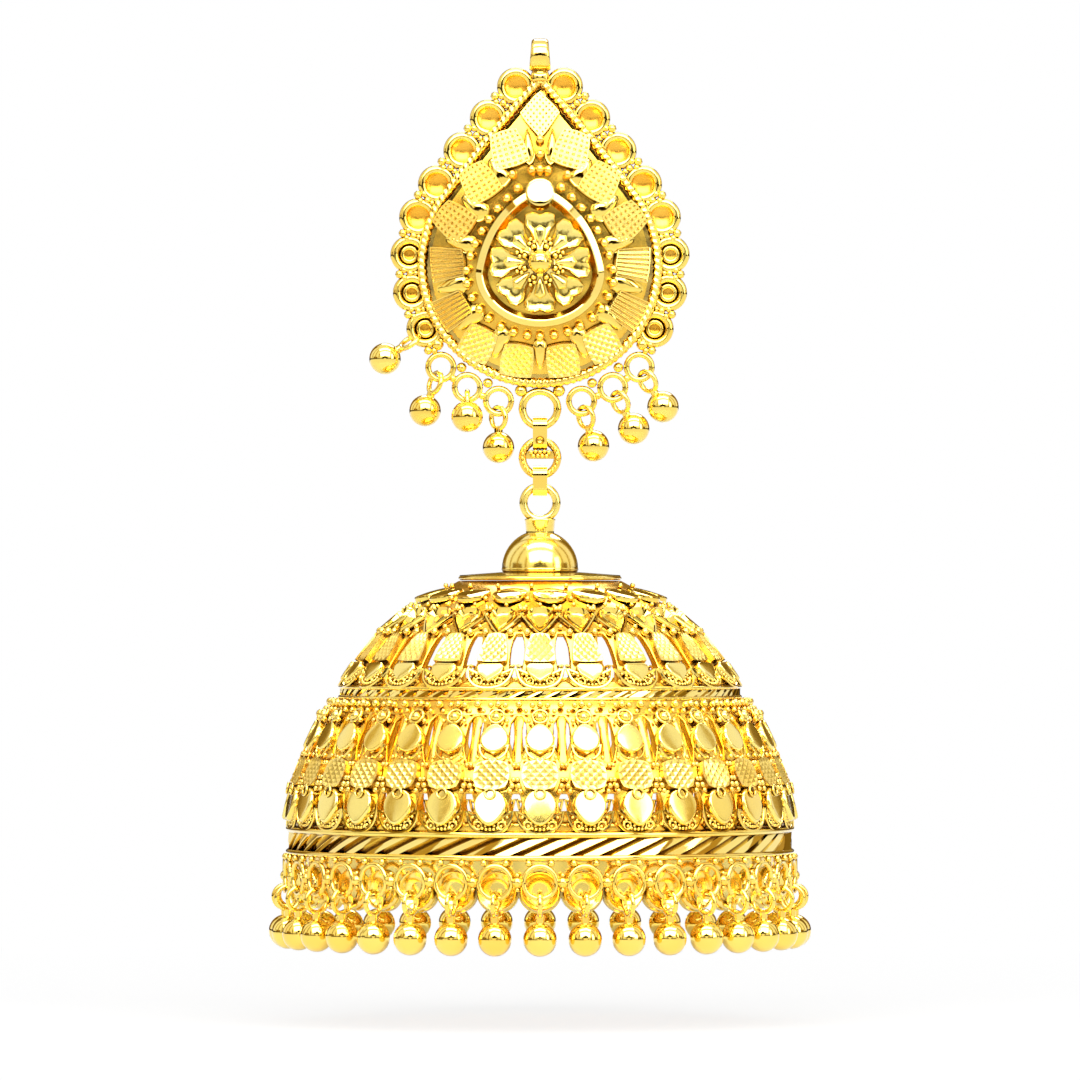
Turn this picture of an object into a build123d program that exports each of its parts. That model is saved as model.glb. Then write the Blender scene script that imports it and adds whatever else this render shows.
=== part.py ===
from build123d import *
import math
import os
from collections import namedtuple

# Jhumka earring, millimetres. The ear post points along +Y, the front looks along -Y, +Z is up.
# The origin is the root of the post, where the ear lobe meets the foot of the post.

GAP = 0.05            # air left between pieces that are set against each other
RIM_PLANE_Y = -1.3    # plane of the ear top's frame rings and of the bell's axis

# Ear post and its foot
POST_R = 0.45
POST_LENGTH = 10.0
POST_TIP_ROUND = 0.2
FOOT_R = 1.6
FOOT_THICKNESS = 0.35

# Pear outline of the ear top, along the middle of its rope wire
PEAR_LOW_R = 8.0      # round lower part
PEAR_LOW_Z = -1.7     # its centre
PEAR_SIDE_R = 100.0   # nearly straight sides
PEAR_APEX_Z = 10.9

PLATE_FRONT_Y = -0.9
PLATE_BACK_Y = -0.4
GALLERY_OUT = 0.2     # outer and inner face of the gallery wall, from the rope's middle
GALLERY_IN = -0.25
ROPE_R = 0.25
ROPE_Y = -1.6

BORDER_WIRE_R = 0.2
SCALLOP_TIE_R = 0.42  # granules between the scallops, a little further out than their middles
SCALLOP_TIE_OUT = 0.3
DROP_TIE_R = 0.28     # granules between the drop rings, a little further in
DROP_TIE_OUT = -0.15
# Rings round the pear on each side, counted from the bottom: distance along the rope from the
# bottom point, distance outside the rope, and radius of the ring's middle line.
BorderRing = namedtuple("BorderRing", "along out ring_r")
BORDER_RINGS = [
    BorderRing(2.37, 1.66, 0.86),
    BorderRing(4.29, 1.66, 0.86),
    BorderRing(6.17, 1.66, 0.86),
    BorderRing(8.52, 1.13, 0.92),
    BorderRing(10.87, 1.13, 0.92),
    BorderRing(13.22, 1.13, 0.92),
    BorderRing(15.57, 1.13, 0.92),
    BorderRing(17.92, 1.13, 0.92),
    BorderRing(20.74, 1.13, 0.92),
    BorderRing(23.56, 1.13, 0.92),
    BorderRing(26.38, 1.13, 0.92),
]
DROP_RINGS = 3        # the first rings of each side carry drops and stand on granules
FOOT_GRAIN_R = 0.36

CENTRE_RING_R = 1.19
CENTRE_RING_WIRE_R = 0.26
CENTRE_RING_Z = -11.45
APEX_GRAIN_R = 0.62
CHAIN_LOOP_Z = 12.55
CHAIN_LOOP_OUT_R = 1.15
CHAIN_LOOP_BORE_R = 0.7
CHAIN_LOOP_WIDTH = 1.3
CHAIN_LOOP_ROUND = 0.15

# Domed panel, part of an ellipsoid shell
PANEL_INSET = -0.33
DOME_CENTRE_Y = 2.3
DOME_CENTRE_Z = 0.55
DOME_A = 12.0         # half axis along X
DOME_B = 5.2          # half axis along Y
DOME_C = 15.0         # half axis along Z
PANEL_THICKNESS = 0.4

# Teardrop band, flower and bright disc on the panel
TEAR_HALF_WIDTH = 4.35
TEAR_WIDEST_Z = -2.2
TEAR_TOP_Z = 3.74
TEAR_BOTTOM_Z = -5.9
TEAR_WALL = 0.35
TEAR_FRONT_Y = -3.6
TEAR_BACK_Y = -2.0
FLOWER_Z = -1.53
PETALS = 8
PETAL_INNER_R = 0.7
PETAL_WIDE_R = 2.2
PETAL_TIP_R = 3.0
PETAL_HALF_WIDTH = 0.8
PETAL_BACK_Y = -2.95
PETAL_FRONT_Y = -3.5
FLOWER_DISC_R = 1.5
FLOWER_BALL_R = 0.8
FLOWER_BALL_Y = -3.9
DISC_Z = 3.2
DISC_R = 0.93
DISC_THICKNESS = 0.3

# Drops of the ear top: a ball on a loop through a frame ring
STUD_BALL_R = 1.07
STUD_LOOP_R = 0.72
STUD_LOOP_WIRE_R = 0.17
STUD_NECK = 0.05
LOOP_PLAY = 0.08
# Ring number (negative on the left), where on the ring the loop hooks, how far the drop leans
# sideways and to the front, and how far the loop is turned to face the front, in degrees.
StudDrop = namedtuple("StudDrop", "ring hook lean forward twist")
STUD_DROPS = [
    StudDrop(-4, -45, -56, 0, 20),
    StudDrop(-3, -20, -20, 0, 30),
    StudDrop(-2, 0, 0, 60, 0),
    StudDrop(-1, 0, 0, 0, 42),
    StudDrop(1, 15, 15, 0, 42),
    StudDrop(2, 27, 27, 0, 42),
    StudDrop(3, 31, 31, 0, 42),
]

# Links
STRAP_WIDTH = 0.97
STRAP_THICKNESS = 0.2
STRAP_BORE_R = 0.44
BEADED_RING_Z = -14.79
BEADED_RING_R = 1.19
BEADED_RING_WIRE_R = 0.26
BRIDGE_TOP_Z = -14.32
BRIDGE_BOTTOM_Z = -14.85
LINK_GRAIN_R = 0.3

# Bell: heights of its parts, and outer wall sections from top to bottom
FINIAL_RING_Z = -17.85
FINIAL_RING_R = 1.12
FINIAL_WIRE_R = 0.28
COLLAR_R = 0.95
COLLAR_TOP_Z = -19.0
CAP_R = 2.58
CAP_BASE_Z = -22.28
CAP_WALL = 0.35
CROWN_CENTRE_Z = -22.35
CROWN_R = 5.45
CROWN_EDGE_Z = -22.75
CROWN_THICKNESS = 0.3
WALL = 0.45
Section = namedtuple("Section", "r z")
UPPER_TIER = [
    Section(5.75, -23.1),
    Section(8.7, -24.7),
    Section(11.05, -26.7),
    Section(13.0, -29.2),
    Section(13.55, -30.25),
]
LOWER_TIER = [
    Section(14.0, -31.05),
    Section(14.9, -32.3),
    Section(15.85, -34.3),
    Section(16.7, -36.5),
    Section(17.05, -38.3),
    Section(17.1, -39.9),
]
Band = namedtuple("Band", "outer_r inner_r top_z bottom_z wire_r")
MIDDLE_BAND = Band(13.65, 13.2, -30.3, -31.0, 0.12)
RIM_BAND = Band(17.1, 16.6, -39.95, -41.5, 0.2)

# Rim: one ring, one lobe of the skirt and one drop for each place
RIM_PLACES = 36
RIM_R = 17.3
SKIRT_OUTER_R = 16.25
SKIRT_WALL = 0.35
SKIRT_TOP_Z = -41.56
SKIRT_VALLEY_Z = -44.1
SKIRT_BOTTOM_Z = -45.2
LOBE_R = 1.45
RIM_RING_Z = -43.1
RIM_RING_R = 1.09
RIM_WIRE_R = 0.16
RIM_GRAIN_R = 0.38
RIM_BEAD_R = 0.22
RIM_BEAD_Z = -41.83
RIM_LOOP_R = 0.78
RIM_BALL_R = 1.12
RIM_BALL_Z = -46.9
NECK_R = 0.28


def ring(centre, normal, ring_r, wire_r):
    """A closed wire ring."""
    return Plane(origin=centre, z_dir=normal) * Torus(ring_r, wire_r)


def grain(x, y, z, radius):
    """One ball of gold."""
    return Pos(x, y, z) * Sphere(radius)


def front_slab(face, back_y, front_y):
    """Extrudes a face drawn in X and Z from back_y forward to front_y."""
    return extrude(Plane.XZ.offset(-back_y) * face, amount=back_y - front_y)


def pear_side():
    """The right side arc's centre, and the angle at which it leaves the lower arc."""
    reach = PEAR_SIDE_R - PEAR_LOW_R
    height = PEAR_APEX_Z - PEAR_LOW_Z
    turn = math.asin((PEAR_SIDE_R**2 - reach**2 - height**2) / (2 * reach * height))
    return (-reach * math.cos(turn), PEAR_LOW_Z - reach * math.sin(turn)), turn


def pear_arcs(out):
    """The right half of the pear, moved outward by out: its lower arc and its side arc."""
    (side_x, side_z), turn = pear_side()
    apex = math.acos(-side_x / (PEAR_SIDE_R + out))
    low = CenterArc((0, PEAR_LOW_Z), PEAR_LOW_R + out, -90, 90 + math.degrees(turn))
    side = CenterArc((side_x, side_z), PEAR_SIDE_R + out, math.degrees(turn), math.degrees(apex - turn))
    return [low, side]


def pear_face(out):
    """The whole pear outline as a face in X and Z."""
    right = pear_arcs(out)
    return make_face(right + [mirror(arc, about=Plane.YZ) for arc in right])


def pear_point(along, out):
    """A point beside the pear: along the rope from the bottom point, and out from the rope."""
    (side_x, side_z), turn = pear_side()
    low_length = PEAR_LOW_R * (math.pi / 2 + turn)
    if along <= low_length:
        centre_x, centre_z, radius = 0, PEAR_LOW_Z, PEAR_LOW_R
        angle = along / PEAR_LOW_R - math.pi / 2
    else:
        centre_x, centre_z, radius = side_x, side_z, PEAR_SIDE_R
        angle = turn + (along - low_length) / PEAR_SIDE_R
    return centre_x + (radius + out) * math.cos(angle), centre_z + (radius + out) * math.sin(angle)


def border_ring_place(number):
    """Centre of a frame ring in X and Z. Rings on the left have negative numbers."""
    row = BORDER_RINGS[abs(number) - 1]
    x, z = pear_point(row.along, row.out)
    return math.copysign(x, number), z


def ear_post():
    """The post and its round foot, one piece."""
    post = Pos(0, 0, POST_LENGTH / 2) * Cylinder(POST_R, POST_LENGTH)
    post = fillet(post.edges().sort_by(Axis.Z)[-1], POST_TIP_ROUND)
    foot = Pos(0, 0, -FOOT_THICKNESS / 2) * Cylinder(FOOT_R, FOOT_THICKNESS)
    return Rot(-90, 0, 0) * (post + foot)


def rope_wire():
    """The round wire along the pear, as arcs, with a ball that closes the point."""
    (side_x, side_z), turn = pear_side()
    apex = math.acos(-side_x / PEAR_SIDE_R)
    low_start = Vector(math.cos(turn), 0, math.sin(turn))
    low_plane = Plane(origin=(0, ROPE_Y, PEAR_LOW_Z), x_dir=low_start, z_dir=(0, 1, 0))
    low_angle = 180 + 2 * math.degrees(turn)
    low = low_plane * Torus(PEAR_LOW_R, ROPE_R, major_angle=low_angle, align=None)
    side_start = Vector(math.cos(apex), 0, math.sin(apex))
    side_plane = Plane(origin=(side_x, ROPE_Y, side_z), x_dir=side_start, z_dir=(0, 1, 0))
    side_angle = math.degrees(apex - turn)
    side = side_plane * Torus(PEAR_SIDE_R, ROPE_R, major_angle=side_angle, align=None)
    point = grain(0, ROPE_Y, PEAR_APEX_Z, ROPE_R)
    return [low, side, mirror(side, about=Plane.YZ), point]


def border_rings():
    """Scallop rings and drop rings on both sides, with the granules that tie them."""
    pieces = []
    for side in (-1, 1):
        for number, row in enumerate(BORDER_RINGS, start=1):
            x, z = border_ring_place(side * number)
            pieces.append(ring((x, RIM_PLANE_Y, z), (0, 1, 0), row.ring_r, BORDER_WIRE_R))
            if number <= DROP_RINGS:
                foot_x, foot_z = pear_point(row.along, row.out - row.ring_r - FOOT_GRAIN_R)
                pieces.append(grain(side * foot_x, RIM_PLANE_Y, foot_z, FOOT_GRAIN_R))
        for number in range(1, len(BORDER_RINGS)):
            lower, upper = BORDER_RINGS[number - 1], BORDER_RINGS[number]
            drops = number < DROP_RINGS
            further, tie_r = (DROP_TIE_OUT, DROP_TIE_R) if drops else (SCALLOP_TIE_OUT, SCALLOP_TIE_R)
            x, z = pear_point((lower.along + upper.along) / 2, (lower.out + upper.out) / 2 + further)
            pieces.append(grain(side * x, RIM_PLANE_Y, z, tie_r))
    return pieces


def chain_loop():
    """The short tube at the point that a support chain hooks into."""
    plane = Plane(origin=(0, RIM_PLANE_Y, CHAIN_LOOP_Z), z_dir=(1, 0, 0))
    tube = Cylinder(CHAIN_LOOP_OUT_R, CHAIN_LOOP_WIDTH)
    tube = fillet(tube.edges().filter_by(GeomType.CIRCLE), CHAIN_LOOP_ROUND)
    return plane * (tube - Cylinder(CHAIN_LOOP_BORE_R, 2 * CHAIN_LOOP_WIDTH))


def stud_base():
    """Back plate, gallery wall, rope, rings and chain loop, soldered into one piece."""
    plate = front_slab(pear_face(GALLERY_OUT), PLATE_BACK_Y, PLATE_FRONT_Y)
    wall = front_slab(pear_face(GALLERY_OUT) - pear_face(GALLERY_IN), PLATE_BACK_Y, ROPE_Y)
    centre = ring((0, RIM_PLANE_Y, CENTRE_RING_Z), (0, 1, 0), CENTRE_RING_R, CENTRE_RING_WIRE_R)
    bottom_z = PEAR_LOW_Z - PEAR_LOW_R
    centre_grain = grain(0, RIM_PLANE_Y, bottom_z - FOOT_GRAIN_R, FOOT_GRAIN_R)
    apex_grain = grain(0, RIM_PLANE_Y, PEAR_APEX_Z + ROPE_R, APEX_GRAIN_R)
    parts = [wall, centre, centre_grain, apex_grain, chain_loop()]
    return plate + parts + rope_wire() + border_rings()


def dome(grow):
    """The panel's ellipsoid, with every half axis longer by grow."""
    ball = scale(Sphere(1), by=(DOME_A + grow, DOME_B + grow, DOME_C + grow))
    return Pos(0, DOME_CENTRE_Y, DOME_CENTRE_Z) * ball


def stud_panel():
    """The domed panel inside the frame."""
    blank = front_slab(pear_face(PANEL_INSET), PLATE_FRONT_Y - GAP, TEAR_FRONT_Y)
    return blank & (dome(0) - dome(-PANEL_THICKNESS))


def tear_face(inset):
    """The teardrop outline as a face in X and Z, drawn inset from its outer edge."""
    half = TEAR_HALF_WIDTH - inset
    top, bottom = TEAR_TOP_Z - 1.4 * inset, TEAR_BOTTOM_Z + inset
    upper = ThreePointArc((half, TEAR_WIDEST_Z), (0.66 * half, (top + TEAR_WIDEST_Z) / 2 + 0.55), (0, top))
    lower = ThreePointArc((0, bottom), (0.68 * half, TEAR_WIDEST_Z - 2.75 + inset), (half, TEAR_WIDEST_Z))
    return make_face([upper, lower, mirror(upper, about=Plane.YZ), mirror(lower, about=Plane.YZ)])


def centre_band():
    """The upright teardrop band, cut to stand on the dome."""
    wall = front_slab(tear_face(0) - tear_face(TEAR_WALL), TEAR_BACK_Y, TEAR_FRONT_Y)
    return wall - dome(GAP)


def centre_flower():
    """Kite petals round a ball, on a small disc."""
    root, tip = (PETAL_INNER_R, 0), (PETAL_TIP_R, 0)
    sides = [(PETAL_WIDE_R, -PETAL_HALF_WIDTH), (PETAL_WIDE_R, PETAL_HALF_WIDTH)]
    petal = Polygon(root, sides[0], tip, sides[1], align=None)
    outline = Circle(FLOWER_DISC_R) + [Rot(0, 0, 360 / PETALS * n + 90) * petal for n in range(PETALS)]
    petals = front_slab(Pos(0, FLOWER_Z) * outline, PETAL_BACK_Y, PETAL_FRONT_Y)
    return petals + grain(0, FLOWER_BALL_Y, FLOWER_Z, FLOWER_BALL_R)


def bright_disc():
    """The polished disc in front of the teardrop's point."""
    back_y = TEAR_FRONT_Y - GAP
    return front_slab(Pos(0, DISC_Z) * Circle(DISC_R), back_y, back_y - DISC_THICKNESS)


def hanging_drop(loop_r, wire_r, ball_drop, ball_r, twist):
    """A ball under a loop, with the loop's centre at the origin, turned by twist degrees about Z.

    At no twist the loop lies in the Y and Z plane. ball_drop is how far the ball's centre is down."""
    neck_length = ball_drop - loop_r
    neck = Pos(0, 0, -loop_r - neck_length / 2) * Cylinder(NECK_R, neck_length)
    loop = Rot(0, 0, twist) * ring((0, 0, 0), (1, 0, 0), loop_r, wire_r)
    return loop + [neck, grain(0, 0, -ball_drop, ball_r)]


def stud_drop(row):
    """One drop of the ear top."""
    ring_x, ring_z = border_ring_place(row.ring)
    frame = BORDER_RINGS[abs(row.ring) - 1]
    hook = math.radians(row.hook)
    hook_x = ring_x + frame.ring_r * math.sin(hook)
    hook_z = ring_z - frame.ring_r * math.cos(hook)
    below_hook = STUD_LOOP_R - STUD_LOOP_WIRE_R - BORDER_WIRE_R - LOOP_PLAY
    ball_drop = STUD_LOOP_R + STUD_LOOP_WIRE_R + STUD_NECK + STUD_BALL_R
    drop = hanging_drop(STUD_LOOP_R, STUD_LOOP_WIRE_R, ball_drop, STUD_BALL_R, row.twist)
    turn = Rot(0, -row.lean, 0) * Rot(-row.forward, 0, 0)
    return Pos(hook_x, RIM_PLANE_Y, hook_z) * turn * Pos(0, 0, -below_hook) * drop


def strap_link(top_z, bottom_z):
    """A flat strap bent into a long loop, whose ends turn round wires at top_z and bottom_z."""
    span = top_z - bottom_z
    outer = SlotCenterToCenter(span, 2 * (STRAP_BORE_R + STRAP_THICKNESS))
    inner = SlotCenterToCenter(span, 2 * STRAP_BORE_R)
    origin = (-STRAP_WIDTH / 2, RIM_PLANE_Y, (top_z + bottom_z) / 2)
    plane = Plane(origin=origin, x_dir=(0, 0, 1), z_dir=(1, 0, 0))
    return extrude(plane * (outer - inner), amount=STRAP_WIDTH)


def upper_link():
    """Strap from the centre ring to the beaded ring, with a granule on its front."""
    strap = strap_link(CENTRE_RING_Z - CENTRE_RING_R, BEADED_RING_Z + BEADED_RING_R)
    front_y = RIM_PLANE_Y - STRAP_BORE_R - STRAP_THICKNESS
    return strap + grain(0, front_y, BEADED_RING_Z + BEADED_RING_R, LINK_GRAIN_R)


def beaded_ring():
    """Ring with a bridge of granules across its upper half."""
    centre = (0, RIM_PLANE_Y, BEADED_RING_Z)
    inner_r = BEADED_RING_R - BEADED_RING_WIRE_R / 2
    half = math.sqrt(inner_r**2 - (BRIDGE_TOP_Z - BEADED_RING_Z) ** 2)
    middle_z = (BRIDGE_TOP_Z + BRIDGE_BOTTOM_Z) / 2
    bridge = Pos(0, RIM_PLANE_Y, middle_z) * Box(2 * half, BEADED_RING_WIRE_R, BRIDGE_TOP_Z - BRIDGE_BOTTOM_Z)
    return ring(centre, (0, 1, 0), BEADED_RING_R, BEADED_RING_WIRE_R) + bridge


def lower_link():
    """Plain strap from the beaded ring to the bell's ring."""
    return strap_link(BEADED_RING_Z - BEADED_RING_R, FINIAL_RING_Z + FINIAL_RING_R)


def turned(face):
    """Revolves a face drawn in radius and Z about the bell's axis."""
    return Pos(0, RIM_PLANE_Y, 0) * revolve(Plane.XZ * face, axis=Axis.Z)


def bell_finial():
    """Ring, collar and hollow cap, soldered into one piece."""
    loop = ring((0, RIM_PLANE_Y, FINIAL_RING_Z), (0, 1, 0), FINIAL_RING_R, FINIAL_WIRE_R)
    cap_face = Pos(0, CAP_BASE_Z) * (Circle(CAP_R) - Circle(CAP_R - CAP_WALL))
    quarter = Pos(CAP_R / 2, CAP_BASE_Z + CAP_R / 2) * Rectangle(CAP_R, CAP_R)
    collar_length = COLLAR_TOP_Z - (CAP_BASE_Z + CAP_R) + CAP_WALL
    collar = Pos(0, RIM_PLANE_Y, COLLAR_TOP_Z - collar_length / 2) * Cylinder(COLLAR_R, collar_length)
    return turned(cap_face & quarter) + [collar, loop]


def crown_plate():
    """Shallow cone plate that closes the bell under the cap."""
    return turned(Polygon(
        (0, CROWN_CENTRE_Z), (CROWN_R, CROWN_EDGE_Z),
        (CROWN_R, CROWN_EDGE_Z - CROWN_THICKNESS), (0, CROWN_CENTRE_Z - CROWN_THICKNESS),
        align=None,
    ))


def tier(sections):
    """A turned wall whose outside follows the sections."""
    outer = [(section.r, section.z) for section in sections]
    line = Spline(*outer)
    inner = []
    for r, z in outer:
        tangent = line.tangent_at(line.param_at_point((r, z)))
        inner.append((r + WALL * tangent.Y, z - WALL * tangent.X))
    edges = [line, Line(outer[-1], inner[-1]), Spline(*reversed(inner)), Line(inner[0], outer[0])]
    return turned(make_face(edges))


def band(size):
    """A turned band with a wire along its upper and lower edge."""
    height = size.top_z - size.bottom_z - 2 * size.wire_r
    middle = (size.inner_r + size.outer_r) / 2
    hoop = Pos(middle, (size.top_z + size.bottom_z) / 2) * Rectangle(size.outer_r - size.inner_r, height)
    upper = Pos(size.outer_r, size.top_z - size.wire_r) * Circle(size.wire_r)
    lower = Pos(size.outer_r, size.bottom_z + size.wire_r) * Circle(size.wire_r)
    return turned(hoop + upper + lower)


def rim_turns():
    """The turn about the bell's axis for each place of the rim, the first at the front."""
    return [Pos(0, RIM_PLANE_Y, 0) * Rot(0, 0, 360 / RIM_PLACES * n - 90) for n in range(RIM_PLACES)]


def rim_skirt():
    """Hoop with a row of round lobes along its lower edge."""
    middle_r = SKIRT_OUTER_R - SKIRT_WALL / 2
    lobe_z = SKIRT_BOTTOM_Z + LOBE_R
    wall_middle_z = (SKIRT_TOP_Z + SKIRT_BOTTOM_Z) / 2
    blank = turned(Pos(middle_r, wall_middle_z) * Rectangle(SKIRT_WALL, SKIRT_TOP_Z - SKIRT_BOTTOM_Z))
    keep_height = 2 * (SKIRT_TOP_Z - SKIRT_VALLEY_Z)
    keep = turned(Pos(middle_r, SKIRT_VALLEY_Z + keep_height / 2) * Rectangle(3 * SKIRT_WALL, keep_height))
    disc = Plane(origin=(middle_r, 0, lobe_z), z_dir=(1, 0, 0)) * Cylinder(LOBE_R, 4 * SKIRT_WALL)
    return blank & (keep + [turn * disc for turn in rim_turns()])


def rim_rings():
    """A chain of rings, each with a bead on top, joined side by side by granules."""
    link = ring((RIM_R, 0, RIM_RING_Z), (1, 0, 0), RIM_RING_R, RIM_WIRE_R)
    link += grain(RIM_R, 0, RIM_BEAD_Z, RIM_BEAD_R)
    tie = Rot(0, 0, 180 / RIM_PLACES) * grain(RIM_R, 0, RIM_RING_Z, RIM_GRAIN_R)
    places = rim_turns()
    return Part() + [turn * link for turn in places] + [turn * tie for turn in places]


def rim_drop():
    """One drop of the rim, at the place that the turns start from."""
    loop_z = RIM_RING_Z - RIM_RING_R - (RIM_LOOP_R - 2 * RIM_WIRE_R - LOOP_PLAY)
    drop = hanging_drop(RIM_LOOP_R, RIM_WIRE_R, loop_z - RIM_BALL_Z, RIM_BALL_R, 90)
    return Pos(RIM_R, 0, loop_z) * drop


def write(name, piece):
    """Writes one node."""
    export_step(piece, f"parts/{name}.step")


os.makedirs("parts", exist_ok=True)
write("ear_post", ear_post())
write("stud_base", stud_base())
write("stud_panel", stud_panel())
write("centre_band", centre_band())
write("centre_flower", centre_flower())
write("bright_disc", bright_disc())
for number, row in enumerate(STUD_DROPS, start=1):
    write(f"stud_drop_{number}", stud_drop(row))
write("upper_link", upper_link())
write("beaded_ring", beaded_ring())
write("lower_link", lower_link())
write("bell_finial", bell_finial())
write("crown_plate", crown_plate())
write("upper_tier", tier(UPPER_TIER))
write("middle_band", band(MIDDLE_BAND))
write("lower_tier", tier(LOWER_TIER))
write("rim_band", band(RIM_BAND))
write("rim_skirt", rim_skirt())
write("rim_rings", rim_rings())
drop = rim_drop()
for number, turn in enumerate(rim_turns(), start=1):
    write(f"rim_drop_{number:02d}", turn * drop)
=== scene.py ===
"""Looks of a gold jhumka earring, built round its packed metal parts.

Every shape is modelled in millimetres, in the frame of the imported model: x to the right, -y to
the front, z up. It becomes metres when its piece is finished. The bell's upright axis and the
rings it hangs on share the plane y = AXIS_Y.
"""

import logging
import math
from collections.abc import Callable, Iterable, Sequence
from dataclasses import dataclass, field
from enum import Enum

import bpy
from mathutils import Matrix, Vector


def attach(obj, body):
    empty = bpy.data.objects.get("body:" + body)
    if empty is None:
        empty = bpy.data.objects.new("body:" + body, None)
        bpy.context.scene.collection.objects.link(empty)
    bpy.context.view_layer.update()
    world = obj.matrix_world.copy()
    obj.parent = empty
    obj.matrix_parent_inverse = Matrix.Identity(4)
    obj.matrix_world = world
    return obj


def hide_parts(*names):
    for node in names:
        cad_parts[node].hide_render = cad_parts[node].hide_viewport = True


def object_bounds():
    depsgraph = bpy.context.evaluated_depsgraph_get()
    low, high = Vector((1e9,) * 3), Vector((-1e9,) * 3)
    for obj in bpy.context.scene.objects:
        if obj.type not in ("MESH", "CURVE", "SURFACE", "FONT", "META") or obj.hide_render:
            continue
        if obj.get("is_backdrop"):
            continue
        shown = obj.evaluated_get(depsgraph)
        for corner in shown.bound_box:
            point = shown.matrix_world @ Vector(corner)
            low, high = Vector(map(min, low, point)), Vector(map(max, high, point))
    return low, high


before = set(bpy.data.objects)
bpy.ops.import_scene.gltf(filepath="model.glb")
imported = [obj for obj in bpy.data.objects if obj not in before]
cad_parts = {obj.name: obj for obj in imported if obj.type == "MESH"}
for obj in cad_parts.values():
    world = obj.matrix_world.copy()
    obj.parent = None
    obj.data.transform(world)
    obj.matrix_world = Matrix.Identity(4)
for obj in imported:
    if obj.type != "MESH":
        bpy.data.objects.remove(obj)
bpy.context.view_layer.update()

log = logging.getLogger("jhumka")

Part = bpy.types.Object
Tree = bpy.types.NodeTree
Socket = bpy.types.NodeSocket
# Flat corners, a boss's levels from top to bottom, and spots with a third measure each.
Corners = Sequence[tuple[float, float]]
Profile = Sequence[tuple[float, float]]
Spots = Sequence[tuple[float, float, float]]
# The reach at an angle, the point at a share along a line, the point at (u, v) on a surface,
# and a wire's sideways and outward offset at a share along it and an angle round it.
Outline = Callable[[float], float]
Path = Callable[[float], Vector]
Net = Callable[[float, float], Vector]
Section = Callable[[float, float], tuple[float, float]]

MM = 0.001
AXIS_Y = -1.3
FRONT = Vector((0, -1, 0))
UP = Vector((0, 0, 1))
LEFT_RIGHT = (-1, 1)
WELD_MM = 1e-4

# Edges sharper than these stay crisp: on most pieces, on stamped plaques, on cut facets.
SMOOTH_ANGLE = math.radians(38)
STAMPED_ANGLE = math.radians(20)
RIDGE_ANGLE = math.radians(14)
FLUTE_ANGLE = math.radians(12)

# A stamped pit, in shares of its cell: the flat ridge left round it, then its slope.
PIT_RIDGE = 0.26
PIT_SLOPE = 0.18
# How full the U of a cradle is: 2 would be an ellipse, more is squarer.
CRADLE_FULLNESS = 2.4
# How finely a path is measured before points are spaced along it.
PATH_STEPS = 400
# Rounding allowed where a length is compared, and where a line meets the end of an edge.
TINY = 1e-9
END_SLACK = 1e-6


class Slot(Enum):
    """The record's names for the finishes."""

    POLISHED = "polished_gold"
    BRIGHT_CUT = "bright_cut_gold"
    KNURLED = "knurled_gold"
    GRANULATED = "granulated_gold"
    TWISTED = "twisted_wire_gold"


class Body(Enum):
    """The bodies that pieces ride on."""

    STUD = "stud"
    LINKS = "connector"
    BELL = "bell"


class Milling(Enum):
    """How the face of a plaque is worked."""

    PITTED = "pitted"
    CROSSED = "crossed"


# ---------------------------------------------------------------- materials


def linear(code: str) -> tuple[float, float, float, float]:
    """Turns an sRGB hex colour into the linear one that shaders take.

    Args:
        code: six hex digits after a hash sign.

    Returns:
        Red, green, blue and alpha, from 0 to 1.
    """
    shares = [int(code[i:i + 2], 16) / 255 for i in (1, 3, 5)]
    return (*[s / 12.92 if s <= 0.04045 else ((s + 0.055) / 1.055) ** 2.4 for s in shares], 1.0)


def add_node(
    tree: Tree,
    kind: str,
    links: dict[str | int, Socket] | None = None,
    values: dict[str | int, object] | None = None,
    **settings: object,
) -> bpy.types.Node:
    """Adds a shader node with its links and settings.

    Args:
        tree: the node tree to add it to.
        kind: the node's type name.
        links: what feeds each input, by the input's name or number.
        values: the fixed value of each input, by its name or number.
        settings: the node's own options.

    Returns:
        The new node.
    """
    made = tree.nodes.new(kind)
    for name, value in settings.items():
        setattr(made, name, value)
    for name, value in (values or {}).items():
        made.inputs[name].default_value = value
    for name, source in (links or {}).items():
        tree.links.new(source, made.inputs[name])
    return made


def bare_material(name: str) -> bpy.types.Material:
    """Finds or makes a material and empties its node tree.

    Args:
        name: the material's name.

    Returns:
        The material.
    """
    made = bpy.data.materials.get(name) or bpy.data.materials.new(name)
    made.use_nodes = True
    made.node_tree.nodes.clear()
    return made


@dataclass(frozen=True)
class Wear:
    """What every gold finish shares.

    The colour drifts between its pale and its deep tone, recesses are painted darker as shade, and
    the roughness varies a little with the grain. The painted shade is darkest where the share of
    free sight over recess_mm is recess_dark, and clear from recess_clear on.
    """

    drift_mm: float = 6.0
    drift_deep: float = 0.35
    drift_pale: float = 0.6
    recess_mm: float = 0.45
    recess_samples: int = 4
    recess_dark: float = 0.2
    recess_clear: float = 0.75
    # The tone that the painted shade in the recesses reaches: a dark gold-brown.
    recess_colour: str = "#80560A"
    gloss_low: float = 0.75
    gloss_high: float = 1.3
    coat_roughness: float = 0.06


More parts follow.
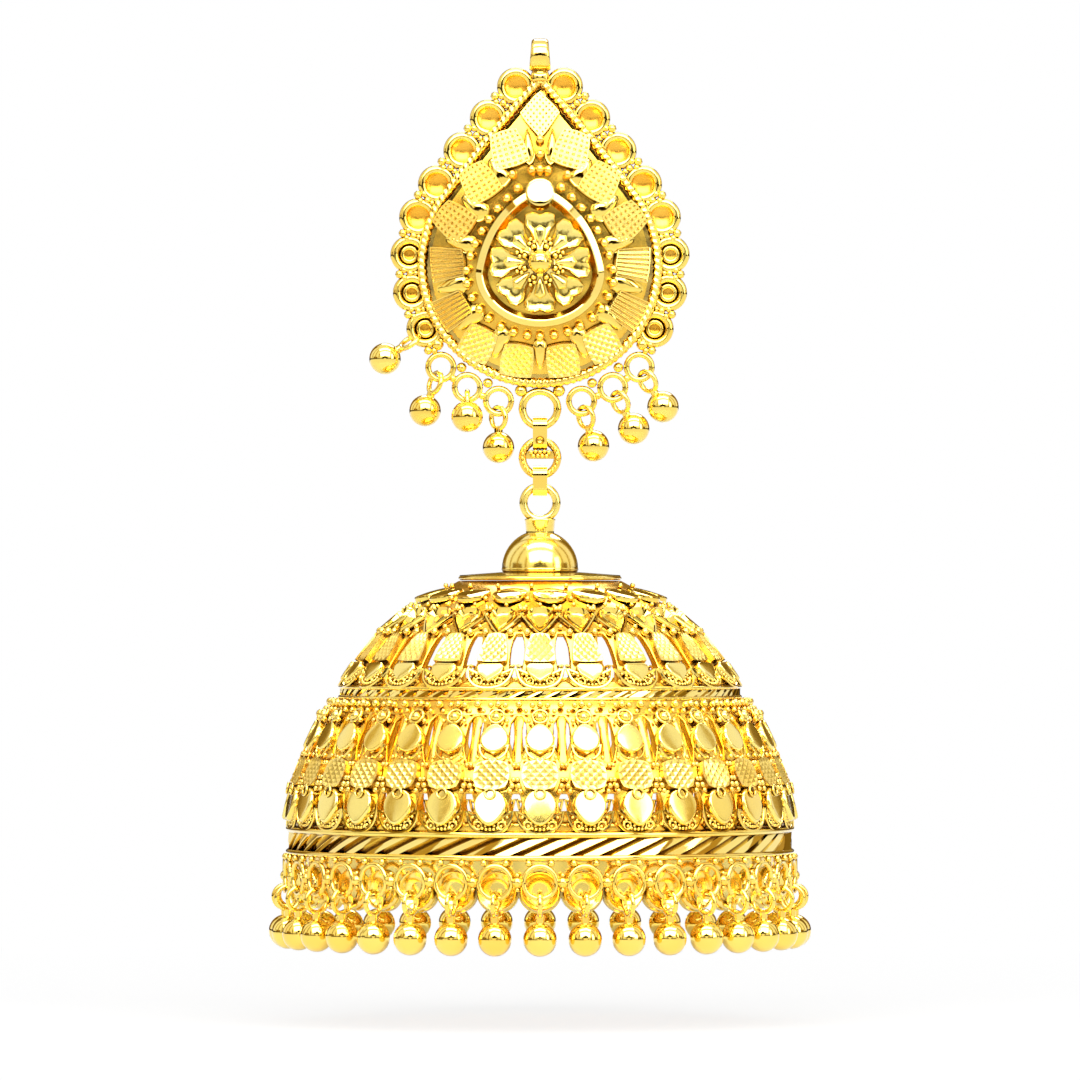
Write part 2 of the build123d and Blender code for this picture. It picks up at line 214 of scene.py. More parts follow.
@dataclass(frozen=True)
class GoldFinish:
    """One way that 22 carat gold is finished.

    The colour drifts a little between a pale and a deep gold, as hand polishing and solder leave
    it. The surface waves gently over ripple_mm. Its grain is a few hundredths of a millimetre on
    the real metal, and is drawn coarser, over grain_mm, so that it shows.
    """

    name: str
    slot: Slot
    pale: str
    deep: str
    roughness: float
    ripple_mm: float
    ripple_depth_mm: float
    grain_mm: float
    grain_depth_mm: float
    coat: float = 1.0
    wear: Wear = Wear()

    def material(self) -> bpy.types.Material:
        """Builds the finish's material, unless it is there already.

        Returns:
            The material.
        """
        known = bpy.data.materials.get(self.name)
        if known:
            return known
        made = bare_material(self.name)
        tree = made.node_tree
        place = add_node(tree, "ShaderNodeTexCoord").outputs["Object"]
        colour = self.colour(tree, place)
        roughness, normal = self.surface(tree, place)
        shader = add_node(
            tree, "ShaderNodeBsdfPrincipled",
            {"Base Color": colour, "Roughness": roughness, "Normal": normal},
            {
                "Metallic": 1.0, "Coat Weight": self.coat,
                "Coat Roughness": self.wear.coat_roughness,
            },
        )
        add_node(tree, "ShaderNodeOutputMaterial", {"Surface": shader.outputs["BSDF"]})
        return made

    def colour(self, tree: Tree, place: Socket) -> Socket:
        """Lays out the colour, from deep to pale gold, with painted shade darkening the recesses.

        Args:
            tree: the material's node tree.
            place: the object coordinates.

        Returns:
            The socket with the colour.
        """
        wear = self.wear
        drift = add_node(
            tree, "ShaderNodeTexNoise", {"Vector": place},
            {"Scale": 1 / (wear.drift_mm * MM), "Detail": 2.0},
        )
        colour = add_node(tree, "ShaderNodeValToRGB", {"Fac": drift.outputs["Fac"]})
        ends = colour.color_ramp.elements
        ends[0].position, ends[0].color = wear.drift_deep, linear(self.deep)
        ends[1].position, ends[1].color = wear.drift_pale, linear(self.pale)
        # Painted shade: where nearby parts close in, ambient occlusion blends the colour towards
        # the dark recess tone.
        recess = add_node(
            tree, "ShaderNodeAmbientOcclusion", values={"Distance": wear.recess_mm * MM},
            samples=wear.recess_samples,
        )
        clear = add_node(
            tree, "ShaderNodeMapRange", {"Value": recess.outputs["AO"]},
            {"From Min": wear.recess_dark, "From Max": wear.recess_clear},
        )
        worn = add_node(
            tree, "ShaderNodeMix",
            {"Factor": clear.outputs["Result"], "B": colour.outputs["Color"]},
            {"A": linear(wear.recess_colour)}, data_type="RGBA",
        )
        return worn.outputs["Result"]

    def surface(self, tree: Tree, place: Socket) -> tuple[Socket, Socket]:
        """Lays out the gentle waves and the fine grain.

        Args:
            tree: the material's node tree.
            place: the object coordinates.

        Returns:
            The sockets with the roughness and the normal.
        """
        ripple = add_node(
            tree, "ShaderNodeTexNoise", {"Vector": place},
            {"Scale": 1 / (self.ripple_mm * MM), "Detail": 0.0},
        )
        waves = add_node(
            tree, "ShaderNodeBump", {"Height": ripple.outputs["Fac"]},
            {"Distance": self.ripple_depth_mm * MM, "Strength": 1.0},
        )
        fine = add_node(
            tree, "ShaderNodeTexNoise", {"Vector": place},
            {"Scale": 1 / (self.grain_mm * MM), "Detail": 2.0},
        )
        bumps = add_node(
            tree, "ShaderNodeBump",
            {"Height": fine.outputs["Fac"], "Normal": waves.outputs["Normal"]},
            {"Distance": self.grain_depth_mm * MM, "Strength": 1.0},
        )
        gloss = add_node(
            tree, "ShaderNodeMapRange", {"Value": fine.outputs["Fac"]},
            {
                "To Min": self.roughness * self.wear.gloss_low,
                "To Max": self.roughness * self.wear.gloss_high,
            },
        )
        return gloss.outputs["Result"], bumps.outputs["Normal"]


# 22 carat gold, polished with rouge: clear reflections, a faint wave from the hand.
POLISHED = GoldFinish(
    "rouge_polished_gold", Slot.POLISHED, "#FFE166", "#FED653", roughness=0.06,
    ripple_mm=1.6, ripple_depth_mm=0.006, grain_mm=0.4, grain_depth_mm=0.0003,
)
# Bright-cut gold: planed with a diamond tool, so each facet is a clean mirror.
BRIGHT_CUT = GoldFinish(
    "diamond_cut_gold", Slot.BRIGHT_CUT, "#FFE47A", "#FFDA64", roughness=0.04,
    ripple_mm=2.4, ripple_depth_mm=0.006, grain_mm=0.3, grain_depth_mm=0.0002,
)
# Burnished gold: rubbed smooth with agate, so what it mirrors runs together.
BURNISHED = GoldFinish(
    "agate_burnished_gold", Slot.POLISHED, "#FFE678", "#FFDC60", roughness=0.16,
    ripple_mm=1.6, ripple_depth_mm=0.006, grain_mm=0.3, grain_depth_mm=0.0003,
)
# Knurled gold: stamped sheet left satin between its pits.
KNURLED = GoldFinish(
    "stamped_satin_gold", Slot.KNURLED, "#FFE074", "#FFD65E", roughness=0.28,
    ripple_mm=0.9, ripple_depth_mm=0.02, grain_mm=0.12, grain_depth_mm=0.005, coat=0.5,
)
# Granulated gold: tiny balls fused on, still bright, a little uneven where the solder ran.
GRANULATED = GoldFinish(
    "fused_granule_gold", Slot.GRANULATED, "#FFDE60", "#FDD24C", roughness=0.1,
    ripple_mm=0.7, ripple_depth_mm=0.015, grain_mm=0.3, grain_depth_mm=0.0008,
)
# Twisted wire gold: drawn wire, polished along its ridges.
TWISTED = GoldFinish(
    "drawn_wire_gold", Slot.TWISTED, "#FFDE66", "#FCD252", roughness=0.1,
    ripple_mm=1.0, ripple_depth_mm=0.01, grain_mm=0.3, grain_depth_mm=0.0006,
)
# Gold ground behind the ornament: pickled and only brushed, so half bright, and painted a deeper,
# warmer gold as the shade where it lies behind the ornament.
GROUND = GoldFinish(
    "pickled_gold_ground", Slot.KNURLED, "#FFD458", "#F8C046", roughness=0.18,
    ripple_mm=1.3, ripple_depth_mm=0.04, grain_mm=0.2, grain_depth_mm=0.0008, coat=0.0,
)
# Cup floors: rougher and without a coat, and painted a deeper, more orange gold as the shade in
# their hollows.
FIRED = GoldFinish(
    "fired_cup_gold", Slot.GRANULATED, "#FCC048", "#F4B034", roughness=0.25,
    ripple_mm=0.8, ripple_depth_mm=0.02, grain_mm=0.14, grain_depth_mm=0.001, coat=0.0,
)


# ---------------------------------------------------------------- bench tools


def take(*parts: Part) -> None:
    """Selects only these parts and makes the first one active.

    Args:
        parts: the parts to select.
    """
    bpy.ops.object.select_all(action="DESELECT")
    for part in parts:
        part.select_set(True)
    bpy.context.view_layer.objects.active = parts[0]


def added(primitive: Callable[..., object], **sizes: object) -> Part:
    """Adds a primitive with nothing else selected.

    Args:
        primitive: the operator that adds it.
        sizes: the operator's own sizes and place.

    Returns:
        The new part.
    """
    bpy.ops.object.select_all(action="DESELECT")
    primitive(**sizes)
    return bpy.context.object


def shift(part: Part, place: Matrix) -> Part:
    """Moves a part by a place and returns it."""
    part.matrix_world = place @ part.matrix_world
    return part


def join(parts: Iterable[Part]) -> Part:
    """Makes one part of several, with their places fixed in its mesh.

    Args:
        parts: the parts to join.

    Returns:
        The one part.
    """
    parts = list(parts)
    take(*parts)
    bpy.ops.object.transform_apply(location=True, rotation=True, scale=True)
    if len(parts) > 1:
        bpy.ops.object.join()
    return bpy.context.view_layer.objects.active


def repeated(pattern: Part, places: Iterable[Matrix]) -> Part:
    """Lays a copy of a pattern, with a mesh of its own, at every place.

    Args:
        pattern: the part to copy, which is used up.
        places: where each copy goes.

    Returns:
        All the copies as one part.
    """
    made = []
    for place in places:
        copy = pattern.copy()
        copy.data = pattern.data.copy()
        bpy.context.collection.objects.link(copy)
        made.append(shift(copy, place))
    bpy.data.objects.remove(pattern)
    return join(made)


def round_axis(pattern: Part, count: int, start: float = 0.0) -> Part:
    """Repeats a pattern at even steps round the bell's axis.

    Args:
        pattern: the part to copy, which is used up.
        count: how many copies.
        start: how many steps the first copy stands past the pattern's own place.

    Returns:
        All the copies as one part.
    """
    centre = on_axis(0)
    back = centre.inverted()
    turns = (math.tau * (n + start) / count for n in range(count))
    return repeated(pattern, (centre @ Matrix.Rotation(turn, 4, "Z") @ back for turn in turns))


def edit(part: Part, *steps: Callable[[], object]) -> Part:
    """Runs edit mode steps on a part, starting with all of it selected.

    Args:
        part: the part to edit.
        steps: the steps in order.

    Returns:
        The part.
    """
    take(part)
    bpy.ops.object.mode_set(mode="EDIT")
    bpy.ops.mesh.select_all(action="SELECT")
    for action in steps:
        action()
    bpy.ops.object.mode_set(mode="OBJECT")
    return part


def soften(part: Part, angle: float = SMOOTH_ANGLE) -> Part:
    """Shades a part smooth, except over sharp edges.

    Args:
        part: the part to shade.
        angle: edges sharper than this stay crisp.

    Returns:
        The part.
    """
    take(part)
    bpy.ops.object.shade_smooth_by_angle(angle=angle)
    return part


def sheet(rule: Net, columns: int, rows: int) -> Part:
    """Lays an open net of faces over a surface.

    Args:
        rule: the surface's point at (u, v), each from 0 to 1.
        columns: number of faces along u.
        rows: number of faces along v.

    Returns:
        The net, with its normals along u cross v.
    """
    part = added(
        bpy.ops.mesh.primitive_grid_add, x_subdivisions=columns, y_subdivisions=rows, size=1
    )
    for vertex in part.data.vertices:
        vertex.co = rule(vertex.co.x + 0.5, vertex.co.y + 0.5)
    return part


def shell(rule: Net, columns: int, rows: int) -> Part:
    """Lays a net that closes on itself, welds its seams and turns its faces outward.

    Args:
        rule: the surface's point at (u, v), each from 0 to 1.
        columns: number of faces along u.
        rows: number of faces along v.

    Returns:
        The closed part.
    """
    part = edit(
        sheet(rule, columns, rows),
        lambda: bpy.ops.mesh.remove_doubles(threshold=WELD_MM),
        lambda: bpy.ops.mesh.normals_make_consistent(inside=False),
    )
    return soften(part)


def ball(radius: float, around: int = 32, up: int = 20) -> Part:
    """A smooth ball at the origin.

    Args:
        radius: its radius.
        around: number of faces round it.
        up: number of faces from pole to pole.

    Returns:
        The ball.
    """
    part = added(
        bpy.ops.mesh.primitive_uv_sphere_add, radius=radius, segments=around, ring_count=up
    )
    return soften(part, math.pi)


def grain(radius: float) -> Part:
    """A granule: a ball with few faces, as there are hundreds of them."""
    return ball(radius, around=8, up=6)


def hoop(radius: float, gauge: float, around: int = 40, across: int = 12) -> Part:
    """A round ring of round wire, flat in x and y.

    Args:
        radius: the radius of its middle line.
        gauge: the radius of its wire.
        around: number of faces round it.
        across: number of faces round the wire.

    Returns:
        The ring.
    """
    part = added(
        bpy.ops.mesh.primitive_torus_add, major_radius=radius, minor_radius=gauge,
        major_segments=around, minor_segments=across,
    )
    return soften(part, math.pi)


def boss(outline: Outline, profile: Profile, around: int = 24) -> Part:
    """A closed boss whose every level is the same outline at another size.

    Args:
        outline: the reach from the middle at an angle from +x.
        profile: (share of the outline, height) from the top middle round to the bottom middle.
        around: number of faces round it.

    Returns:
        The boss, standing on x and y with its top along +z.
    """
    last = len(profile) - 1

    def rule(u: float, v: float) -> Vector:
        """The boss's surface.

        Args:
            u: share round it.
            v: share down its profile.

        Returns:
            The point.
        """
        share, height = profile[round(v * last)]
        reach = outline(math.tau * u) * share
        return Vector((reach * math.cos(math.tau * u), reach * math.sin(math.tau * u), height))

    return shell(rule, around, last)


def wire(
    path: Path, section: Section, steps: int, out: Vector = FRONT, across: int = 8,
    closed: bool = False,
) -> Part:
    """A wire or strip that follows a path.

    Args:
        path: the middle line's point at a share from 0 to 1.
        section: the (sideways, outward) offset at a share along and an angle round.
        steps: number of faces along it.
        out: the direction that the strip's face looks.
        across: number of faces round it.
        closed: true where the path ends where it starts; otherwise the ends get flat caps.

    Returns:
        The closed wire.
    """
    quarter_step = 0.25 / steps

    def rule(u: float, v: float) -> Vector:
        """The wire's surface.

        Args:
            u: share along it.
            v: share round it.

        Returns:
            The point.
        """
        along, size = u, 1.0
        if not closed:
            along = min(max((u * steps - 1) / (steps - 2), 0.0), 1.0)
            size = 0.0 if u in (0.0, 1.0) else 1.0
        ahead = (path(along + quarter_step) - path(along - quarter_step)).normalized()
        side = ahead.cross(out).normalized()
        face = side.cross(ahead)
        a, b = section(along, math.tau * v)
        return path(along) + (side * a + face * b) * size

    return shell(rule, steps, across)


def round_section(radius: float) -> Section:
    """The section of a plain round wire."""
    return lambda _, angle: (radius * math.cos(angle), radius * math.sin(angle))


# ---------------------------------------------------------------- places


def seat(at: Vector, up: Vector, out: Vector) -> Matrix:
    """A place whose z looks out, whose y goes up and whose x goes sideways.

    Args:
        at: where it is.
        up: the way that its y leans.
        out: the way that its z points.

    Returns:
        The place.
    """
    out = out.normalized()
    side = up.cross(out).normalized()
    turn = Matrix((side, out.cross(side), out)).transposed().to_4x4()
    return Matrix.Translation(at) @ turn


def facing(y: float, z: float) -> Matrix:
    """An upright place on the middle plane that faces front."""
    return seat(Vector((0, y, z)), UP, FRONT)


def on_axis(z: float) -> Matrix:
    """A level place on the bell's axis."""
    return Matrix.Translation((0, AXIS_Y, z))


def step(x: float = 0.0, y: float = 0.0, z: float = 0.0, turn: float = 0.0) -> Matrix:
    """A move by x, y and z, after a turn about z in degrees."""
    return Matrix.Translation((x, y, z)) @ Matrix.Rotation(math.radians(turn), 4, "Z")


def nod(angle: float) -> Matrix:
    """A turn about x in degrees."""
    return Matrix.Rotation(math.radians(angle), 4, "X")


def sized(radius: float) -> Matrix:
    """The scale that gives a grain of radius 1 this radius."""
    return Matrix.Scale(radius, 4)


def round_point(radius: float, turn: float, z: float) -> Vector:
    """The point at a radius and height round the bell's axis, turned from the front."""
    return Vector((radius * math.sin(turn), AXIS_Y - radius * math.cos(turn), z))


def sides(x: float) -> tuple[int, ...]:
    """Both sides for a spot beside the middle line, and one for a spot on it."""
    return LEFT_RIGHT if x else (1,)


def even_points(path: Path, count: int) -> list[Vector]:
    """Points at even distances once round a closed path.

    Args:
        path: the path's point at a share from 0 to 1.
        count: how many points.

    Returns:
        The points in order.
    """
    fine = [path(n / PATH_STEPS) for n in range(PATH_STEPS + 1)]
    lengths = [0.0]
    for a, b in zip(fine, fine[1:]):
        lengths.append(lengths[-1] + (b - a).length)
    spacing = lengths[-1] / count
    points, at = [], 0
    for n in range(count):
        while at < PATH_STEPS and lengths[at] < n * spacing - TINY:
            at += 1
        points.append(fine[at])
    return points


# ---------------------------------------------------------------- shapes for goldwork


def circle(radius: float) -> Outline:
    """A round outline."""
    return lambda _: radius


def pointed(radius: float, point: float, angle: float = -90.0, sharp: float = 8.0) -> Outline:
    """A round outline drawn out to a point.

    Args:
        radius: reach of the round part.
        point: extra reach of the point.
        angle: direction of the point, in degrees.
        sharp: the greater, the narrower the point.

    Returns:
        The outline.
    """
    aim = math.radians(angle)
    return lambda a: radius + point * max(0.0, math.cos(a - aim)) ** sharp


def polygon(right: Corners) -> Outline:
    """The outline of a polygon that is alike left and right and holds the origin.

    Args:
        right: the corners up its right side, from the bottom to the top.

    Returns:
        The outline.
    """
    corners = [*right, *((-x, y) for x, y in reversed(right) if x)]
    edges = list(zip(corners, [*corners[1:], corners[0]]))

    def reach(angle: float) -> float:
        """The polygon's edge.

        Args:
            angle: the direction from the origin.

        Returns:
            The distance to the edge.
        """
        c, s = math.cos(angle), math.sin(angle)
        best = 0.0
        for (x1, y1), (x2, y2) in edges:
            dx, dy = x2 - x1, y2 - y1
            cross = c * dy - s * dx
            if abs(cross) < TINY:
                continue
            along = (s * x1 - c * y1) / cross
            far = (x1 * dy - y1 * dx) / cross
            if -END_SLACK <= along <= 1 + END_SLACK and far > 0:
                best = max(best, far)
        return best

    return reach


def dome(height: float, skirt: float = 0.15, steps: int = 4) -> Profile:
    """The profile of a domed button on a straight skirt.

    Args:
        height: the dome's height.
        skirt: how far the skirt reaches below the dome.
        steps: number of levels over the dome.

    Returns:
        The profile.
    """
    arc = [k * math.pi / 2 / steps for k in range(steps + 1)]
    return [(math.sin(a), height * math.cos(a)) for a in arc] + [(1, -skirt), (0, -skirt)]


def pill(height: float, crown: float, skirt: float = 0.15) -> Profile:
    """The profile of a flat button with a rounded edge.

    Args:
        height: the height of its middle.
        crown: how much its face swells.
        skirt: how far its side reaches below z = 0.

    Returns:
        The profile.
    """
    return [
        (0, height), (0.5, height - crown * 0.3), (0.86, height - crown),
        (0.9, height - crown * 1.3), (0.97, height * 0.62), (1, height * 0.15),
        (1, -skirt), (0, -skirt),
    ]


def dish(depth: float, rim: float, edge: float = 0.8, wall: float = 0.1) -> Profile:
    """The profile of a shallow cup.

    Args:
        depth: how far its floor lies below z = 0.
        rim: how far its rounded rim stands above z = 0.
        edge: the share of the outline at which its floor ends.
        wall: its thickness under the floor.

    Returns:
        The profile.
    """
    return [
        (0, -depth), (edge * 0.5, -depth * 0.85), (edge * 0.85, -depth * 0.4),
        (edge, rim * 0.5), ((1 + edge) / 2, rim), (1, rim * 0.45),
        (1, -depth - wall), (0, -depth - wall),
    ]


def tapered(low: float, high: float, half: float) -> Corners:
    """The corners of a plaque from its half widths below and above and its half length."""
    return [(-low, -half), (low, -half), (high, half), (-high, half)]


def plaque_face(corners: Corners, swell: float) -> Net:
    """The face of a plaque.

    Args:
        corners: lower left, lower right, upper right and upper left corner.
        swell: share by which the middle of each side stands out beyond its corners.

    Returns:
        The face's point at (u, v).
    """
    low_left, low_right, high_right, high_left = (Vector((*c, 0)) for c in corners)

    def rule(u: float, v: float) -> Vector:
        """The plaque's face.

        Args:
            u: share across.
            v: share up.

        Returns:
            The point.
        """
        point = low_left.lerp(low_right, u).lerp(high_left.lerp(high_right, u), v)
        point.x *= 1 + swell * (0.5 - (2 * v - 1) ** 2)
        point.y *= 1 + swell * (0.5 - (2 * u - 1) ** 2)
        return point

    return rule


def backed(part: Part, thickness: float = 0.45) -> Part:
    """Draws the edge of a plaque's face back and closes it behind.

    Args:
        part: the open face.
        thickness: how far its edge is drawn back.

    Returns:
        The plaque.
    """
    edit(
        part,
        lambda: bpy.ops.mesh.select_all(action="DESELECT"),
        lambda: bpy.ops.mesh.select_non_manifold(),
        lambda: bpy.ops.mesh.extrude_edges_move(
            TRANSFORM_OT_translate={"value": (0, 0, -thickness)}
        ),
        lambda: bpy.ops.mesh.edge_face_add(),
    )
    return soften(part, STAMPED_ANGLE)


def knurled(
    corners: Corners, cells: tuple[int, int], swell: float = 0.1, pit: float = 0.09
) -> Part:
    """A stamped plaque with a square pit in every cell.

    Args:
        corners: lower left, lower right, upper right and upper left corner.
        cells: number of pits across and up.
        swell: share by which the middle of each side stands out beyond its corners.
        pit: depth of the pits.

    Returns:
        The plaque, its face at z = 0 looking along +z.
    """
    left, right, _, high = (Vector(c) for c in corners)
    cell = min((right - left).length / cells[0], (high - left).length / cells[1])
    return backed(edit(
        sheet(plaque_face(corners, swell), *cells),
        lambda: bpy.ops.mesh.inset(thickness=cell * PIT_RIDGE, depth=0, use_individual=True),
        lambda: bpy.ops.mesh.inset(thickness=cell * PIT_SLOPE, depth=-pit, use_individual=True),
    ))


def cross_milled(
    corners: Corners, cells: tuple[int, int], swell: float = 0.1, pit: float = 0.1
) -> Part:
    """A plaque with milled ridges that cross aslant and leave a pit in every diamond.

    Args:
        corners: lower left, lower right, upper right and upper left corner.
        cells: number of faces across and up; a pit lies on every second corner between them.
        swell: share by which the middle of each side stands out beyond its corners.
        pit: depth of the pits.

    Returns:
        The plaque, its face at z = 0 looking along +z.
    """
    part = sheet(plaque_face(corners, swell), *cells)
    for vertex in part.data.vertices:
        row, column = divmod(vertex.index, cells[0] + 1)
        inside = 0 < row < cells[1] and 0 < column < cells[0]
        if inside and (row + column) % 2:
            vertex.co.z = -pit
    edit(
        part,
        lambda: bpy.ops.mesh.select_mode(type="FACE"),
        lambda: bpy.ops.mesh.select_all(action="DESELECT"),
    )
    for face in part.data.polygons:
        face.select = sum(divmod(face.index, cells[0])) % 2 == 1
    bpy.ops.object.mode_set(mode="EDIT")
    bpy.ops.mesh.quads_convert_to_tris(quad_method="FIXED_ALTERNATE")
    bpy.ops.mesh.select_all(action="SELECT")
    bpy.ops.mesh.quads_convert_to_tris(quad_method="FIXED")
    bpy.ops.mesh.select_mode(type="VERT")
    bpy.ops.object.mode_set(mode="OBJECT")
    return backed(part)


MILLS = {Milling.PITTED: knurled, Milling.CROSSED: cross_milled}


@dataclass(frozen=True)
class Cradle:
    """A wire crescent that holds the point of a disc: a V above, a U below, grains between.

    Its horns are at y = 0 and its face looks along +z. Height and notch run down from the horns.
    """

    half_width: float
    height: float
    notch: float
    gauge: float
    # The grains: their distance from the V and from the U, how many lie along each half of the
    # V, then how many steps there are to half the U and which share of its width they reach.
    v_gap: float = 0.24
    u_gap: float = 0.22
    row_grains: int = 5
    u_steps: float = 5.2
    u_width: float = 0.9

    def made(self, *eyes: Part) -> Part:
        """Bends the crescent.

        Args:
            eyes: rings that lie in it.

        Returns:
            The crescent joined with them.
        """

        def path(share: float) -> Vector:
            """The wire's middle line, along the U to the right and back along the V.

            Args:
                share: share along it.

            Returns:
                The point.
            """
            along = share % 1 * 2
            if along < 1:
                across = 2 * along - 1
                fall = max(0.0, 1 - abs(across) ** CRADLE_FULLNESS)
                return Vector((self.half_width * across, -self.height * math.sqrt(fall), 0))
            across = 3 - 2 * along
            return Vector((self.half_width * across, -self.notch * (1 - abs(across)), 0))

        crescent = wire(path, round_section(self.gauge), 44, out=UP, across=6, closed=True)
        return join([crescent, *eyes])

    def edging(self, place: Matrix, radius: float, half: float, height: float) -> Part:
        """Grains inside the crescent: a row under its V and a row along its U.

        Args:
            place: where the crescent lies.
            radius: the grains' radius.
            half: how far the rows reach to each side.
            height: how far the lower row hangs down.

        Returns:
            The grains.
        """
        v_shares = (n / self.row_grains for n in range(self.row_grains))
        u_shares = (n / self.u_steps for n in range(1, self.row_grains))
        v_row = [(half * s, -self.notch * (1 - s) - self.v_gap) for s in v_shares]
        u_row = [
            (half * s * self.u_width, -height * math.sqrt(1 - s**CRADLE_FULLNESS) + self.u_gap)
            for s in u_shares
        ]
        spots = [*v_row, *u_row, (0.0, -height + self.u_gap)]
        return repeated(
            grain(radius), (place @ step(side * x, y) for x, y in spots for side in sides(x))
        )


# ---------------------------------------------------------------- finishing


def report(name: str, part: Part) -> None:
    """Logs a finished piece with its number of triangles.

    Args:
        name: the piece's name.
        part: the piece.
    """
    part.data.calc_loop_triangles()
    log.info("%s: %d triangles", name, len(part.data.loop_triangles))


def finished(
    name: str, parts: Iterable[Part], body: Body, finish: GoldFinish, *nodes: str
) -> None:
    """Makes one finished piece, in metres, of the parts.

    Args:
        name: the piece's name.
        parts: what it is joined from, in millimetres.
        body: the body that it rides on.
        finish: its finish.
        nodes: the CAD nodes that it stands for.
    """
    part = join(parts)
    part.name = name
    part.data.name = name
    part.scale = (MM, MM, MM)
    take(part)
    bpy.ops.object.transform_apply(location=True, rotation=True, scale=True)
    part.data.materials.clear()
    part.data.materials.append(finish.material())
    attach(part, body.value)
    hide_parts(*nodes)
    report(name, part)


def dressed(finish: GoldFinish, *nodes: str) -> None:
    """Gives CAD nodes whose shape is kept their finish.

    Args:
        finish: the finish.
        nodes: the nodes' names.
    """
    for name in nodes:
        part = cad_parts[name]
        part.data.materials.clear()
        part.data.materials.append(finish.material())
        report(name, part)


# ---------------------------------------------------------------- the ear top


@dataclass(frozen=True)
class Pear:
    """The rope's line: a round bottom and two long arcs that meet at the apex."""

    low_r: float = 8.0
    low_z: float = -1.7
    side_r: float = 100.0
    apex_z: float = 10.9

    @property
    def reach(self) -> float:
        """Distance between the middles of the round bottom and of a side arc."""
        return self.side_r - self.low_r

    @property
    def turn(self) -> float:
        """Angle at which the round bottom passes into the side arc."""
        rise = self.apex_z - self.low_z
        return math.asin((self.side_r**2 - self.reach**2 - rise**2) / (2 * self.reach * rise))

    @property
    def low_length(self) -> float:
        """Length of the round bottom from its lowest point to the side arc."""
        return self.low_r * (math.pi / 2 + self.turn)

    @property
    def length(self) -> float:
        """Length from the lowest point to the apex."""
        top = math.acos(self.reach * math.cos(self.turn) / self.side_r)
        return self.low_length + self.side_r * (top - self.turn)

    def seat(self, along: float, out: float, y: float) -> Matrix:
        """A place beside the line that faces front, its y axis pointing away from the pear.

        Args:
            along: length from the lowest point, negative on the left.
            out: distance outside the line.
            y: depth of the place.

        Returns:
            The place.
        """
        far = abs(along)
        if far <= self.low_length:
            centre = Vector((0, 0, self.low_z))
            radius, angle = self.low_r, far / self.low_r - math.pi / 2
        else:
            x, z = self.reach * math.cos(self.turn), self.reach * math.sin(self.turn)
            centre = Vector((-x, 0, self.low_z - z))
            radius, angle = self.side_r, self.turn + (far - self.low_length) / self.side_r
        away = Vector((math.cos(angle), 0, math.sin(angle)))
        at = centre + away * (radius + out)
        if along < 0:
            away.x, at.x = -away.x, -at.x
        at.y = y
        return seat(at, away, FRONT)

    def loop(self, out: float, y: float) -> Path:
        """A path once round the pear from its apex."""
        return lambda share: self.seat((share % 1 * 2 - 1) * self.length, out, y).translation


@dataclass(frozen=True)
class Teardrop:
    """The inner band's line: a round bottom and two bowed sides that meet at a point."""

    middle_z: float = -2.2
    half: float = 4.35
    top_z: float = 3.74
    low_z: float = -5.9
    round_share: float = 0.45
    bow_x: float = 0.82
    bow_z: float = 1.87
    tip_spread: float = 1.4

    def path(self, out: float) -> Path:
        """A path once round the line from its lowest point.

        Args:
            out: distance outside the line.

        Returns:
            The path.
        """
        half, low = self.half + out, self.low_z - out
        start = Vector((half, 0, self.middle_z))
        bow = Vector((half * self.bow_x, 0, self.bow_z))
        tip = Vector((0, 0, self.top_z + self.tip_spread * out))

        def point(share: float) -> Vector:
            """The line, up the right side and down the left.

            Args:
                share: share along it.

            Returns:
                The point.
            """
            far = min(share, 1 - share) * 2
            if far < self.round_share:
                angle = far / self.round_share * math.pi / 2
                drop = (low - self.middle_z) * math.cos(angle)
                at = Vector((half * math.sin(angle), 0, self.middle_z + drop))
            else:
                t = (far - self.round_share) / (1 - self.round_share)
                at = start * (1 - t) ** 2 + bow * 2 * t * (1 - t) + tip * t * t
            if share > 0.5:
                at.x = -at.x
            return at

        return point


@dataclass(frozen=True)
class Dome:
    """The face of the panel inside the rope: part of an ellipsoid."""

    centre_y: float = 2.3
    centre_z: float = 0.55
    half_x: float = 12.0
    half_y: float = 5.2
    half_z: float = 15.0

    def front(self, x: float, z: float) -> Vector:
        """The point of the face at x and z."""
        share = (x / self.half_x) ** 2 + ((z - self.centre_z) / self.half_z) ** 2
        return Vector((x, self.centre_y - self.half_y * math.sqrt(1 - share), z))

    def seat(self, x: float, z: float, turn: float = 0.0, lift: float = 0.0) -> Matrix:
        """A place on the face.

        Args:
            x: how far right of the middle it lies.
            z: its height.
            turn: the way that its y axis points, in degrees from +x.
            lift: its distance off the face.

        Returns:
            The place, with its z axis off the face.
        """
        at = self.front(x, z)
        out = Vector((
            x / self.half_x**2,
            (at.y - self.centre_y) / self.half_y**2,
            (z - self.centre_z) / self.half_z**2,
        ))
        aim = math.radians(turn)
        return seat(at, Vector((math.cos(aim), 0, math.sin(aim))), out) @ step(z=lift)


